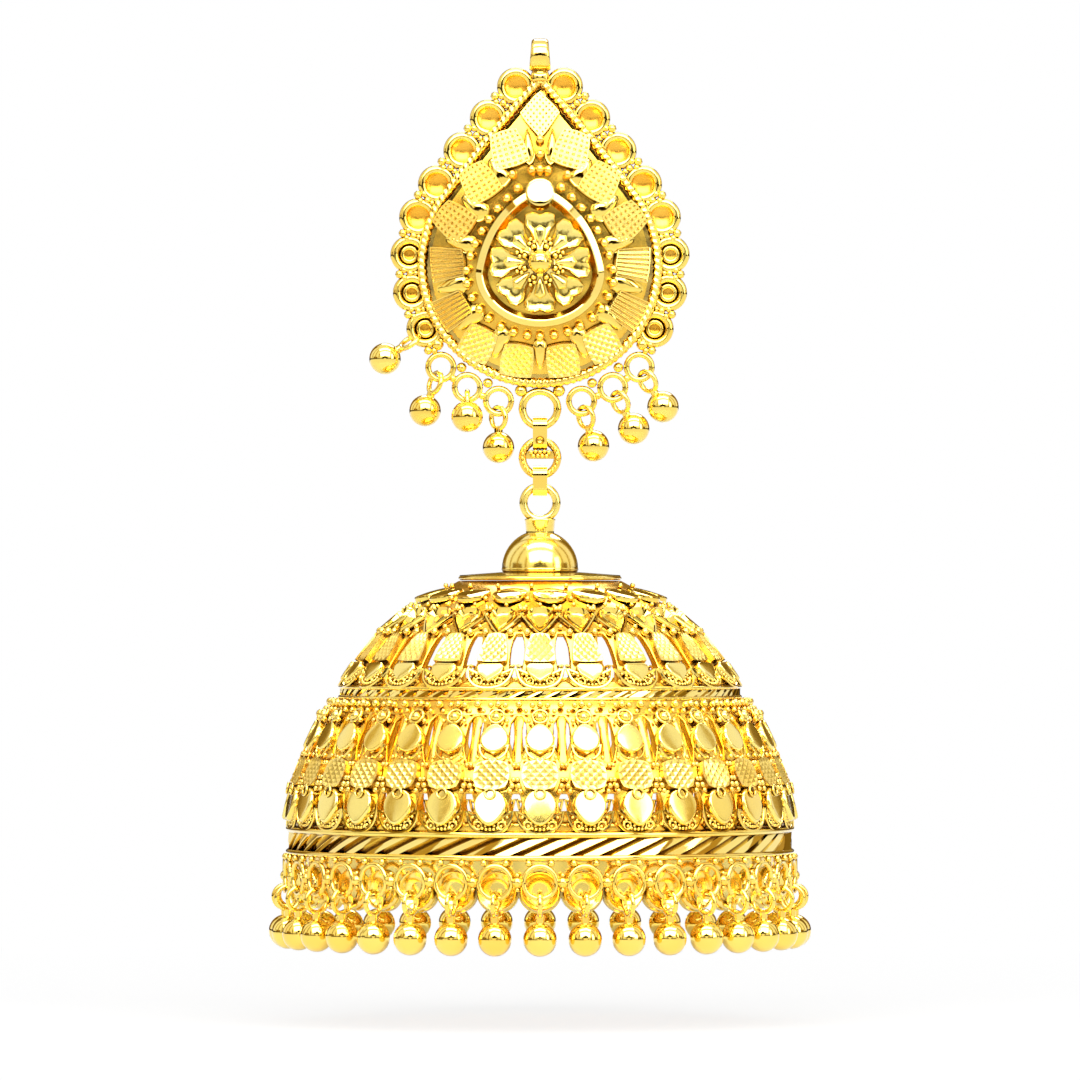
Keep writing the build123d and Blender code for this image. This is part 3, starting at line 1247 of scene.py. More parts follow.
@dataclass
class StudFrame:
    """The pear shaped frame of the ear top: back plate, rope, border, open rings and loop."""

    pear: Pear = Pear()
    plate_back: float = -0.4
    plate_face: float = -0.9
    flange_face: float = -1.0
    flange_out: float = 0.3
    wall_out: float = 0.2
    wall_in: float = -0.25
    rope_y: float = -1.6
    rope_r: float = 0.37
    rope_pitch: float = 0.9
    rope_lobe: float = 0.1
    rope_faces: int = 10
    tip_ring_r: float = 0.2
    tip_ring_wire: float = 0.13
    tip_ring_back: float = 0.25
    tip_ring_out: float = 0.15
    scallops: tuple[float, ...] = (8.52, 10.87, 13.22, 15.57, 17.92, 20.74, 23.56, 26.38)
    scallop_r: float = 1.0
    scallop_wire: float = 0.29
    scallop_out: float = 0.9
    eyed_scallops: int = 3
    eye_r: float = 0.48
    eye_wire: float = 0.17
    eye_sink: float = 0.1
    cup_r: float = 0.95
    # Grains between two scallops: sideways, distance outside the rope, radius.
    cluster: Spots = (
        (0, 1.56, 0.3), (-0.26, 1.24, 0.24), (0.26, 1.24, 0.24), (0, 0.82, 0.26), (0, 0.45, 0.22),
    )
    cluster_y: float = AXIS_Y - 0.12
    drop_rings: tuple[float, ...] = (2.37, 4.29, 6.17)
    drop_ring_r: float = 0.86
    drop_ring_wire: float = 0.2
    drop_ring_out: float = 1.66
    centre_ring_r: float = 1.19
    centre_ring_wire: float = 0.26
    centre_ring_z: float = -11.45
    # Grains that tie the open rings: length from the lowest point, distance outside, radius.
    ties: Spots = (
        (1.2, 0.62, 0.42), (3.33, 0.75, 0.34), (5.23, 0.75, 0.34), (7.3, 0.8, 0.42),
        (3.33, 1.7, 0.26), (5.23, 1.7, 0.26),
    )
    loop_z: float = 12.55
    loop_r: float = 1.15
    loop_bore: float = 0.7
    loop_width: float = 1.3
    loop_taper: float = 0.12
    loop_corner: float = 0.5
    bead_r: float = 0.62
    bead_z: float = 11.15
    collar: Corners = ((0.55, -0.3), (0.55, 0.3))
    collar_z: float = 11.05
    collar_lift: float = 0.35

    def build(self) -> None:
        """Builds every piece of the frame."""
        self.back()
        self.rope()
        self.border()
        self.rings()
        self.hanging_loop()

    def beside(self, lengths: Iterable[float], out: float) -> list[Matrix]:
        """Places on both sides of the pear, at lengths from its lowest point."""
        signed = (side * along for along in lengths for side in LEFT_RIGHT)
        return [self.pear.seat(along, out, AXIS_Y) for along in signed]

    def back(self) -> None:
        """Makes the pear shaped plate with its raised edge wall."""
        levels = [
            (None, self.plate_back), (self.wall_out, self.plate_back),
            (self.flange_out, self.plate_back), (self.flange_out, self.flange_face),
            (self.wall_out, self.flange_face), (self.wall_out, self.rope_y),
            (self.wall_in, self.rope_y), (self.wall_in, self.plate_face), (None, self.plate_face),
        ]

        def rule(u: float, v: float) -> Vector:
            """The plate's point at u round it and v from its back's middle to its face's."""
            out, y = levels[round(v * (len(levels) - 1))]
            return Vector((0, y, 0)) if out is None else self.pear.loop(out, y)(u)

        plate = shell(rule, columns=120, rows=len(levels) - 1)
        finished("stud_back_plate", [plate], Body.STUD, TWISTED, "stud_base")

    def rope(self) -> None:
        """Twists two wires round each other along the pear and binds them at its apex."""
        turns = round(2 * self.pear.length / self.rope_pitch)

        def section(share: float, angle: float) -> tuple[float, float]:
            """The outline of the two strands, turned on along the rope.

            Args:
                share: share along the rope.
                angle: angle round it.

            Returns:
                The offset sideways and outward.
            """
            lobe = self.rope_r * (1 - self.rope_lobe + self.rope_lobe * math.cos(2 * angle))
            lay = angle + math.tau * turns * share
            return lobe * math.cos(lay), lobe * math.sin(lay)

        line, steps = self.pear.loop(0, self.rope_y), turns * self.rope_faces
        strand = wire(line, section, steps, across=12, closed=True)
        along = self.pear.length - self.tip_ring_back
        binding = [
            shift(
                hoop(self.tip_ring_r, self.tip_ring_wire, around=12, across=8),
                self.pear.seat(side * along, self.tip_ring_out, self.rope_y),
            )
            for side in LEFT_RIGHT
        ]
        finished("stud_rope", [strand, *binding], Body.STUD, TWISTED, "stud_base")

    def border(self) -> None:
        """Sets the cupped rings round the rope, with grains between them."""
        places = self.beside(self.scallops, self.scallop_out)
        rims = repeated(hoop(self.scallop_r, self.scallop_wire), places)
        eye = shift(hoop(self.eye_r, self.eye_wire, around=28, across=10), step(z=-self.eye_sink))
        eyes = repeated(eye, places[:2 * self.eyed_scallops])
        finished("stud_border_rings", [rims, eyes], Body.STUD, POLISHED, "stud_base")
        cup = boss(circle(self.cup_r), dish(depth=0.42, rim=-0.1, edge=0.94), around=32)
        # The cup floors are painted a deeper orange gold as the shade in their hollows.
        finished("stud_border_cups", [repeated(cup, places)], Body.STUD, FIRED, "stud_base")
        stops = [self.drop_rings[-1], *self.scallops]
        grains = repeated(grain(1), (
            self.pear.seat(side * (a + b) / 2, out, self.cluster_y) @ step(x=x) @ sized(radius)
            for a, b in zip(stops, stops[1:]) for side in LEFT_RIGHT
            for x, out, radius in self.cluster
        ))
        finished("stud_border_grains", [grains], Body.STUD, GRANULATED, "stud_base")

    def rings(self) -> None:
        """Makes the open rings that the small drops and the bell hang on, and their ties."""
        places = self.beside(self.drop_rings, self.drop_ring_out)
        small = repeated(hoop(self.drop_ring_r, self.drop_ring_wire, around=48, across=14), places)
        big = hoop(self.centre_ring_r, self.centre_ring_wire, around=56, across=16)
        shift(big, facing(AXIS_Y, self.centre_ring_z))
        finished("stud_open_rings", [small, big], Body.STUD, POLISHED, "stud_base")
        ties = repeated(ball(1, around=16, up=10), (
            self.pear.seat(side * along, out, AXIS_Y) @ sized(radius)
            for side in LEFT_RIGHT for along, out, radius in self.ties
        ))
        finished("stud_ring_ties", [ties], Body.STUD, GRANULATED, "stud_base")

    def hanging_loop(self) -> None:
        """Makes the broad loop at the top, the bead under it and the collar on the rope's tip."""
        middle, half = (self.loop_r + self.loop_bore) / 2, (self.loop_r - self.loop_bore) / 2

        def rule(u: float, v: float) -> Vector:
            """The loop's strap, which is broadest at the foot.

            Args:
                u: share round the loop.
                v: share round the strap's section.

            Returns:
                The point.
            """
            around, across = math.tau * u, math.tau * v
            wide = self.loop_width / 2 * (1 + self.loop_taper * math.cos(around + math.pi))
            corner = abs(math.cos(across)) ** self.loop_corner
            reach = middle + half * math.sin(across)
            return Vector((
                wide * math.copysign(corner, math.cos(across)),
                AXIS_Y - reach * math.sin(around), self.loop_z + reach * math.cos(around),
            ))

        loop = shell(rule, columns=48, rows=16)
        bead = shift(ball(self.bead_r), on_axis(self.bead_z))
        collar = shift(
            boss(polygon(self.collar), dome(height=0.2, skirt=0.5)),
            facing(self.rope_y - self.collar_lift, self.collar_z),
        )
        finished("stud_hanging_loop", [loop, bead, collar], Body.STUD, POLISHED, "stud_base")


@dataclass(frozen=True)
class Plaque:
    """A plaque on the panel: its middle, the way it points in degrees, its size and milling.

    The inner width is the half width at the end near the flower, the outer one at the rope.
    """

    x: float
    z: float
    turn: float
    outer: float = 0.98
    inner: float = 1.25
    length: float = 2.45
    cells: tuple[int, int] = (6, 7)
    milling: Milling = Milling.PITTED

    def made(self) -> Part:
        """The plaque, with its outer end at +y."""
        return MILLS[self.milling](tapered(self.inner, self.outer, self.length / 2), self.cells)


@dataclass
class DomedPanel:
    """The panel inside the rope: a domed sheet with a well, plaques, smooth drops and grains."""

    pear: Pear = Pear()
    tear: Teardrop = Teardrop()
    dome: Dome = Dome()
    rim_out: float = -0.6
    ground_drop: float = 0.25
    back_y: float = -0.8
    well_out: float = -0.5
    well_y: float = -1.7
    well_z: float = -1.53
    sheet_steps: int = 8
    plaque_lift: float = 0.42
    fan: tuple[Plaque, ...] = (
        Plaque(2.13, 6.12, 73), Plaque(4.07, 3.87, 58), Plaque(5.75, 1.27, 36),
        Plaque(6.2, -1.6, -5, 1.3, 0.95, 2.3, (7, 1)),
        Plaque(5.85, -4.7, -30, 1.25, 1.0, 2.3, (7, 1)),
        Plaque(4.15, -6.95, -62, 1.15, 1.05, 2.3, (9, 9), Milling.CROSSED),
        Plaque(1.52, -8.1, -82, 1.12, 1.02, 2.2, (9, 9), Milling.CROSSED),
    )
    kite: Corners = ((0, -1.75), (1.4, 0.1), (0, 1.65), (-1.4, 0.1))
    kite_z: float = 8.45
    # Smooth drops between the plaques: x, z, direction in degrees, half width, half length.
    drops: tuple[tuple[float, float, float, float, float], ...] = (
        (0, -7.75, -90, 0.5, 1.15), (2.75, -6.95, -70, 0.62, 1.2), (4.7, -5.3, -42, 0.66, 1.15),
        (5.85, -3.1, -14, 0.68, 1.2), (5.3, -0.2, 14, 0.64, 1.15), (4.4, 2.2, 42, 0.7, 1.15),
        (2.85, 4.55, 62, 0.7, 1.1), (0.78, 6.3, 86, 0.4, 1.3),
    )
    # Half of a drop's outline, in shares of its half width and half length.
    drop_outline: Corners = ((0, -1), (0.8, -0.8), (1, -0.45), (0.8, 0.2), (0.25, 1))
    grain_r: float = 0.31
    grain_lift: float = 0.3
    grain_foot: float = -0.1
    ring_out: float = 0.62
    ring_grains: int = 34
    ring_top: float = 3.6
    # Grains above the band: x, z.
    tip_grains: Corners = (
        (0, 4.75), (0, 5.75), (0, 6.75), (-0.55, 4.7), (0.55, 4.7), (-1.85, 4.4), (1.85, 4.4),
    )

    def build(self) -> None:
        """Builds every piece of the panel."""
        self.ground()
        self.plaques()
        self.bosses()
        self.grains()

    def ground(self) -> None:
        """Makes the domed sheet that carries the ornament, with a well inside the band."""
        steps = self.sheet_steps
        edge, brink = self.pear.loop(self.rim_out, 0), self.tear.path(self.well_out)

        def rule(u: float, v: float) -> Vector:
            """The sheet, from the well's middle out and back in behind.

            Args:
                u: share round it.
                v: share out and back in.

            Returns:
                The point.
            """
            level = round(v * (steps + 5))
            rim, well = edge(u), brink((u + 0.5) % 1)
            if level == 0:
                return Vector((0, self.well_y, self.well_z))
            if level == 1:
                return Vector((well.x, self.well_y, well.z))
            if level <= steps + 2:
                point = well.lerp(rim, (level - 2) / steps)
                return self.dome.front(point.x, point.z) + Vector((0, self.ground_drop, 0))
            behind = (rim, well, Vector((0, 0, self.well_z)))[level - steps - 3]
            return Vector((behind.x, self.back_y, behind.z))

        ground = shell(rule, columns=96, rows=steps + 5)
        finished("stud_panel_ground", [ground], Body.STUD, GROUND, "stud_panel")

    def plaques(self) -> None:
        """Lays the plaques in a fan round the flower, with a kite shaped one on top."""
        made = []
        for plaque in self.fan:
            for side in LEFT_RIGHT:
                turn = plaque.turn if side > 0 else 180 - plaque.turn
                place = self.dome.seat(side * plaque.x, plaque.z, turn, self.plaque_lift)
                made.append(shift(plaque.made(), place))
        kite = knurled(self.kite, cells=(7, 7))
        made.append(shift(kite, self.dome.seat(0, self.kite_z, 90, self.plaque_lift)))
        finished("stud_plaques", made, Body.STUD, KNURLED, "stud_panel")

    def bosses(self) -> None:
        """Raises the smooth drops between the plaques."""
        made = []
        for x, z, turn, half, length in self.drops:
            outline = polygon([(half * a, length * b) for a, b in self.drop_outline])
            for side in sides(x):
                drop = boss(outline, pill(height=0.46, crown=0.14, skirt=0.5), around=32)
                aim = turn if side > 0 else 180 - turn
                made.append(shift(drop, self.dome.seat(side * x, z, aim)))
        finished("stud_drop_bosses", made, Body.STUD, POLISHED, "stud_panel")

    def grains(self) -> None:
        """Sets grains round the inner band and above it, each on a smaller foot."""
        ring = even_points(self.tear.path(self.ring_out), self.ring_grains)
        spots = [*((p.x, p.z) for p in ring if p.z < self.ring_top), *self.tip_grains]
        rows = [
            repeated(grain_ball, [self.dome.seat(x, z, 90, lift) for x, z in spots])
            for grain_ball, lift in (
                (ball(self.grain_r, around=16, up=10), self.grain_lift),
                (ball(self.grain_r, around=12, up=8), self.grain_foot),
            )
        ]
        finished("stud_panel_grains", rows, Body.STUD, GRANULATED, "stud_panel")


@dataclass
class CentreBand:
    """The bright-cut teardrop band on the panel, and the domed disc at its point."""

    tear: Teardrop = Teardrop()
    dome: Dome = Dome()
    line_out: float = -0.38
    lift: float = 0.15
    # The band's section: sideways, outward.
    section: Corners = (
        (0.38, 0.3), (0.0, 0.5), (-0.08, 0.46), (-0.42, -0.75), (-0.42, -1.6), (0.38, -1.2),
    )
    disc_r: float = 0.98
    disc_at: tuple[float, float, float] = (0, -3.75, 3.2)
    disc_out: tuple[float, float, float] = (0, -1, 0.3)

    def build(self) -> None:
        """Cuts the ridged band and domes the disc."""
        line = self.tear.path(self.line_out)

        def path(share: float) -> Vector:
            """The band's line on the panel's face."""
            point = line(share % 1)
            return self.dome.front(point.x, point.z) + Vector((0, -self.lift, 0))

        def section(_: float, angle: float) -> tuple[float, float]:
            """The corner of the section at an angle round it."""
            return self.section[round(angle / math.tau * len(self.section)) % len(self.section)]

        ridge = wire(path, section, steps=160, across=len(self.section), closed=True)
        soften(ridge, RIDGE_ANGLE)
        finished("centre_band_ridge", [ridge], Body.STUD, BRIGHT_CUT, "centre_band")
        place = seat(Vector(self.disc_at), UP, Vector(self.disc_out))
        disc = boss(circle(self.disc_r), dome(height=0.12, skirt=1.0, steps=5), around=40)
        finished(
            "bright_disc_dome", [shift(disc, place)], Body.STUD, BRIGHT_CUT, "bright_disc"
        )


@dataclass
class Flower:
    """The flower in the well: cupped petals, a ball, and grains between the petals' roots."""

    y: float = -3.3
    z: float = -1.53
    petals: int = 8
    petal: Corners = (
        (0.2, -1.4), (0.66, -0.15), (1.08, 0.5), (1.0, 1.1), (0.48, 1.34), (0, 1.16),
    )
    kernel: Corners = ((0.1, -1.2), (0.34, -0.3), (0.42, 0.1), (0, 0.4))
    kernel_sink: float = 0.05
    petal_out: float = 2.12
    petal_tilt: float = -4.0
    heart_r: float = 0.8
    heart_lift: float = 0.6
    base_r: float = 1.7
    base_sink: float = 0.25
    # Grains between two petals: sideways, distance from the middle, radius.
    seeds: Spots = (
        (0, 1.12, 0.2), (-0.17, 1.42, 0.15), (0.17, 1.42, 0.15), (0, 1.68, 0.15),
    )
    seed_lift: float = 0.15

    def build(self) -> None:
        """Makes the petals, the ball on its base and the grains."""
        middle = facing(self.y, self.z)
        cup = boss(polygon(self.petal), dish(depth=0.1, rim=0.14, edge=0.9), around=44)
        kernel = boss(polygon(self.kernel), dome(height=0.22, skirt=0.1))
        petal = join([cup, shift(kernel, step(z=-self.kernel_sink))])
        shift(petal, step(y=self.petal_out) @ nod(self.petal_tilt))
        spokes = [middle @ step(turn=360 / self.petals * n) for n in range(self.petals)]
        finished("flower_petals", [repeated(petal, spokes)], Body.STUD, BURNISHED, "centre_flower")
        heart = shift(ball(self.heart_r), middle @ step(z=self.heart_lift))
        base = boss(circle(self.base_r), dome(height=0.15, skirt=1.2), around=40)
        shift(base, middle @ step(z=-self.base_sink))
        finished("flower_heart", [heart, base], Body.STUD, POLISHED, "centre_flower")
        seeds = repeated(grain(1), (
            middle @ step(turn=360 / self.petals * (n + 0.5)) @ step(x, y, self.seed_lift)
            @ sized(radius)
            for n in range(self.petals) for x, y, radius in self.seeds
        ))
        finished("flower_grains", [seeds], Body.STUD, GRANULATED, "centre_flower")


@dataclass
class EarTop:
    """The ear top: its frame, panel, band and flower, with the post and drops as packed."""

    drops: int = 7

    def build(self) -> None:
        """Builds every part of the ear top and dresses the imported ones."""
        for part in (StudFrame(), DomedPanel(), CentreBand(), Flower()):
            part.build()
        dressed(POLISHED, "ear_post", *(f"stud_drop_{n}" for n in range(1, self.drops + 1)))


# ---------------------------------------------------------------- the links


@dataclass
class Links:
    """The strap links and the beaded ring between the ear top and the bell."""

    ring_z: float = -14.79
    ring_r: float = 1.19
    edge_grains: int = 24
    edge_grain_r: float = 0.13
    edge_lift: float = 0.27
    # Grains across the ring's bridge: sideways, up.
    bridge: Corners = (
        (-0.6, 0.38), (-0.3, 0.44), (0, 0.4), (0.3, 0.44), (0.6, 0.38),
        (-0.45, 0.14), (-0.15, 0.16), (0.15, 0.16), (0.45, 0.14),
    )
    bridge_grain_r: float = 0.17
    bridge_lift: float = 0.3

    def build(self) -> None:
        """Dresses the links and sets grains on the beaded ring."""
        dressed(POLISHED, "upper_link", "lower_link")
        dressed(GRANULATED, "beaded_ring")
        middle = facing(AXIS_Y, self.ring_z)
        edge = [
            middle @ step(turn=360 / self.edge_grains * n)
            @ step(y=self.ring_r, z=self.edge_lift) @ sized(self.edge_grain_r)
            for n in range(self.edge_grains)
        ]
        bridge = [
            middle @ step(x, y, self.bridge_lift) @ sized(self.bridge_grain_r)
            for x, y in self.bridge
        ]
        row = repeated(grain(1), edge + bridge)
        finished("beaded_ring_grains", [row], Body.LINKS, GRANULATED)


# ---------------------------------------------------------------- the bell


@dataclass(frozen=True)
class Wall:
    """The outside of one tier of the bell, as radii at heights from the top down."""

    stations: tuple[tuple[float, float], ...]
    slope_over: float = 0.8

    def radius(self, z: float) -> float:
        """The wall's outer radius.

        Args:
            z: the height to measure at.

        Returns:
            The radius there.
        """
        for (r1, z1), (r2, z2) in zip(self.stations, self.stations[1:]):
            if z >= z2:
                return r1 + (r2 - r1) * (z - z1) / (z2 - z1)
        return self.stations[-1][0]

    def seat(self, z: float, across: float = 0.0, lift: float = 0.0) -> Matrix:
        """A place on the front of the wall.

        Args:
            z: its height.
            across: distance to the right, measured round the wall.
            lift: distance off the wall.

        Returns:
            The place: y up the wall and z off it.
        """
        radius, half = self.radius(z), self.slope_over / 2
        lean = (self.radius(z + half) - self.radius(z - half)) / self.slope_over
        flat = seat(Vector((0, -radius, z)), Vector((0, -lean, 1)), Vector((0, -1, -lean)))
        return on_axis(0) @ Matrix.Rotation(across / radius, 4, "Z") @ flat @ step(z=lift)


@dataclass
class Tier:
    """A pierced tier of the bell: bays of ornament side by side, with openings between them."""

    node: str
    wall: Wall
    bays: int
    # The openings from the bottom up: height, half width there.
    openings: Profile
    inset: float
    thickness: float = 0.4
    closed_half: float = 0.3
    edge_r: float = 0.09
    edge_angle: float = math.radians(50)

    def laid(self, name: str, finish: GoldFinish, *bay: Part) -> None:
        """Repeats what stands in one bay round the bell, as one finished piece.

        Args:
            name: the piece's name after the tier's.
            finish: its finish.
            bay: the parts in the front bay.
        """
        row = round_axis(join(bay) if len(bay) > 1 else bay[0], self.bays)
        finished(f"{self.node}_{name}", [row], Body.BELL, finish, self.node)

    def strewn(self, spots: Spots, lift: float) -> Part:
        """Sets grains on the front of the wall.

        Args:
            spots: distance across, height and radius; one beside the middle is mirrored.
            lift: how far their middles stand off the wall.

        Returns:
            The grains as one part.
        """
        return repeated(grain(1), (
            self.wall.seat(z, side * x, lift) @ sized(radius)
            for x, z, radius in spots for side in sides(x)
        ))

    def pierced(self) -> None:
        """Cuts the wall that carries the ornament; a bay stands at the front."""
        rows, quarters = len(self.openings) - 1, self.bays * 4

        def rule(u: float, v: float) -> Vector:
            """The wall, with four columns to a bay.

            Args:
                u: share round it.
                v: share up it.

            Returns:
                The point.
            """
            z, half = self.openings[round(v * rows)]
            radius = self.wall.radius(z) - self.inset
            bay, part = divmod(round(u * quarters), 4)
            share = (half or self.closed_half) / (math.tau * radius / self.bays)
            inside = (0.0, share, 0.5, 1 - share)[part]
            return round_point(radius, math.tau * (bay + inside + 0.5) / self.bays, z)

        def is_open(u: float, v: float) -> bool:
            """Finds the faces that the openings take.

            Args:
                u: share round the wall of the face's middle.
                v: share up the wall of the face's middle.

            Returns:
                Whether the face goes.
            """
            row = int(v * rows)
            open_row = self.openings[row][1] > 0 and self.openings[row + 1][1] > 0
            return open_row and int(u * quarters) % 4 in (0, 3)

        part = added(
            bpy.ops.mesh.primitive_grid_add, x_subdivisions=quarters, y_subdivisions=rows, size=1
        )
        edit(part, lambda: bpy.ops.mesh.select_all(action="DESELECT"))
        for face in part.data.polygons:
            face.select = is_open(face.center.x + 0.5, face.center.y + 0.5)
        bpy.ops.object.mode_set(mode="EDIT")
        bpy.ops.mesh.delete(type="FACE")
        bpy.ops.object.mode_set(mode="OBJECT")
        for vertex in part.data.vertices:
            vertex.co = rule(vertex.co.x + 0.5, vertex.co.y + 0.5)
        edit(part, lambda: bpy.ops.mesh.remove_doubles(threshold=WELD_MM))
        wall = part.modifiers.new("wall", "SOLIDIFY")
        wall.thickness, wall.offset = self.thickness, -1
        edge = part.modifiers.new("edge", "BEVEL")
        edge.width, edge.segments, edge.limit_method = self.edge_r, 2, "ANGLE"
        edge.angle_limit = self.edge_angle
        take(part)
        bpy.ops.object.modifier_apply(modifier="wall")
        bpy.ops.object.modifier_apply(modifier="edge")
        finished(f"{self.node}_wall", [soften(part)], Body.BELL, GROUND, self.node)


@dataclass
class UpperTier(Tier):
    """The flat upper tier: leaves, cups, plaques and hearts in bays, with gaps between them."""

    node: str = "upper_tier"
    wall: Wall = Wall((
        (5.75, -23.1), (8.7, -24.7), (11.05, -26.7), (13.0, -29.2), (13.55, -30.25),
    ))
    bays: int = 24
    openings: Profile = (
        (-30.25, 0), (-29.95, 0), (-29.8, 0.28), (-29.2, 0.42), (-28.4, 0.5), (-27.6, 0.48),
        (-27.0, 0.36), (-26.6, 0.2), (-26.4, 0), (-25.6, 0), (-24.7, 0), (-23.9, 0), (-23.1, 0),
    )
    inset: float = 0.3
    leaves: int = 17
    leaf_start: float = 0.25
    leaf_z: float = -24.0
    leaf_r: float = 1.18
    leaf_point: float = 0.12
    leaf_sink: float = 0.05
    leaf_tilt: float = -12.0
    cup_z: float = -25.55
    cup_sink: float = 0.12
    cup_outline: Corners = ((0, -1.5), (0.55, -0.75), (0.95, 0.1), (0.85, 0.6), (0.45, 0.92))
    vee_half: float = 1.32
    vee_top: float = 0.45
    vee_drop: float = 2.15
    vee_round: float = 0.8
    vee_gauge: float = 0.1
    vee_lift: float = 0.08
    plaque_z: float = -27.6
    plaque_size: tuple[float, float, float] = (1.08, 0.6, 1.15)
    plaque_lift: float = 0.12
    heart_z: float = -29.1
    heart_outline: Corners = ((0, -0.95), (0.8, -0.3), (1.0, 0.3), (0.75, 0.55))
    heart_sink: float = 0.02
    cradle: Cradle = Cradle(half_width=1.56, height=1.55, notch=0.8, gauge=0.11)
    cradle_z: float = -28.95
    cradle_sink: float = 0.08
    eye_r: float = 0.24
    eye_wire: float = 0.07
    eye_at: tuple[float, float] = (0.68, -0.95)
    edge_grain_r: float = 0.12
    edge_half: float = 1.46
    edge_height: float = 1.5
    # Grains in a bay: distance across, height, radius.
    bay_grains: Spots = (
        (1.3, -25.0, 0.2), (0.95, -24.85, 0.16), (1.35, -26.2, 0.17), (0.86, -26.55, 0.26),
        (0.0, -24.72, 0.15),
    )
    bay_grain_lift: float = 0.02
    # Grains between the leaves: distance across, height.
    crown_grains: Corners = ((1.2, -23.45), (1.36, -24.3))
    crown_grain_r: float = 0.17

    def build(self) -> None:
        """Builds the tier."""
        self.pierced()
        self.leaf_row()
        self.cups()
        plaque = cross_milled(tapered(*self.plaque_size), cells=(8, 8))
        place = self.wall.seat(self.plaque_z, 0, self.plaque_lift)
        self.laid("plaques", KNURLED, shift(plaque, place))
        self.hearts()
        self.grains()

    def leaf_row(self) -> None:
        """Lays the round leaves under the crown, each lifted at its lower edge."""
        outline = pointed(self.leaf_r, self.leaf_point, sharp=6)
        leaf = boss(outline, pill(height=0.22, crown=0.05, skirt=0.2), around=28)
        place = self.wall.seat(self.leaf_z, 0, -self.leaf_sink) @ nod(self.leaf_tilt)
        leaves = round_axis(shift(leaf, place), self.leaves, self.leaf_start)
        finished("upper_tier_leaves", [leaves], Body.BELL, POLISHED, self.node)

    def cups(self) -> None:
        """Sets the kite shaped cups with the wire V that cradles each."""
        cup = boss(polygon(self.cup_outline), dish(depth=0.12, rim=0.32, edge=0.76), around=32)

        def path(share: float) -> Vector:
            """The V's middle line, from the left horn down and up to the right one.

            Args:
                share: share along it.

            Returns:
                The point.
            """
            across = 2 * share - 1
            fall = self.vee_drop * max(0.0, 1 - abs(across)) ** self.vee_round
            return Vector((self.vee_half * across, self.vee_top - fall, 0.0))

        vee = wire(path, round_section(self.vee_gauge), steps=20, out=UP, across=6)
        bay = join([cup, shift(vee, step(z=self.vee_lift))])
        self.laid("cups", POLISHED, shift(bay, self.wall.seat(self.cup_z, 0, -self.cup_sink)))

    def hearts(self) -> None:
        """Sets the polished hearts and their granulated cradles."""
        outline = polygon(self.heart_outline)
        heart = boss(outline, pill(height=0.22, crown=0.02, skirt=0.3), around=32)
        place = self.wall.seat(self.heart_z, 0, -self.heart_sink)
        self.laid("hearts", BURNISHED, shift(heart, place))
        x, y = self.eye_at
        eyes = [
            shift(hoop(self.eye_r, self.eye_wire, around=14, across=6), step(side * x, y))
            for side in LEFT_RIGHT
        ]
        place = self.wall.seat(self.cradle_z, 0, -self.cradle_sink)
        self.laid("cradles", GRANULATED, shift(self.cradle.made(*eyes), place))

    def grains(self) -> None:
        """Strews the grains between the ornaments and between the leaves."""
        bay = self.strewn(self.bay_grains, self.bay_grain_lift)
        place = self.wall.seat(self.cradle_z, 0, -self.cradle_sink)
        edge = self.cradle.edging(place, self.edge_grain_r, self.edge_half, self.edge_height)
        rows = round_axis(join([bay, edge]), self.bays)
        crown = repeated(grain(self.crown_grain_r), (
            self.wall.seat(z, x) for x, z in self.crown_grains
        ))
        crown = round_axis(crown, self.leaves, self.leaf_start)
        finished("upper_tier_grains", [rows, crown], Body.BELL, GRANULATED, self.node)


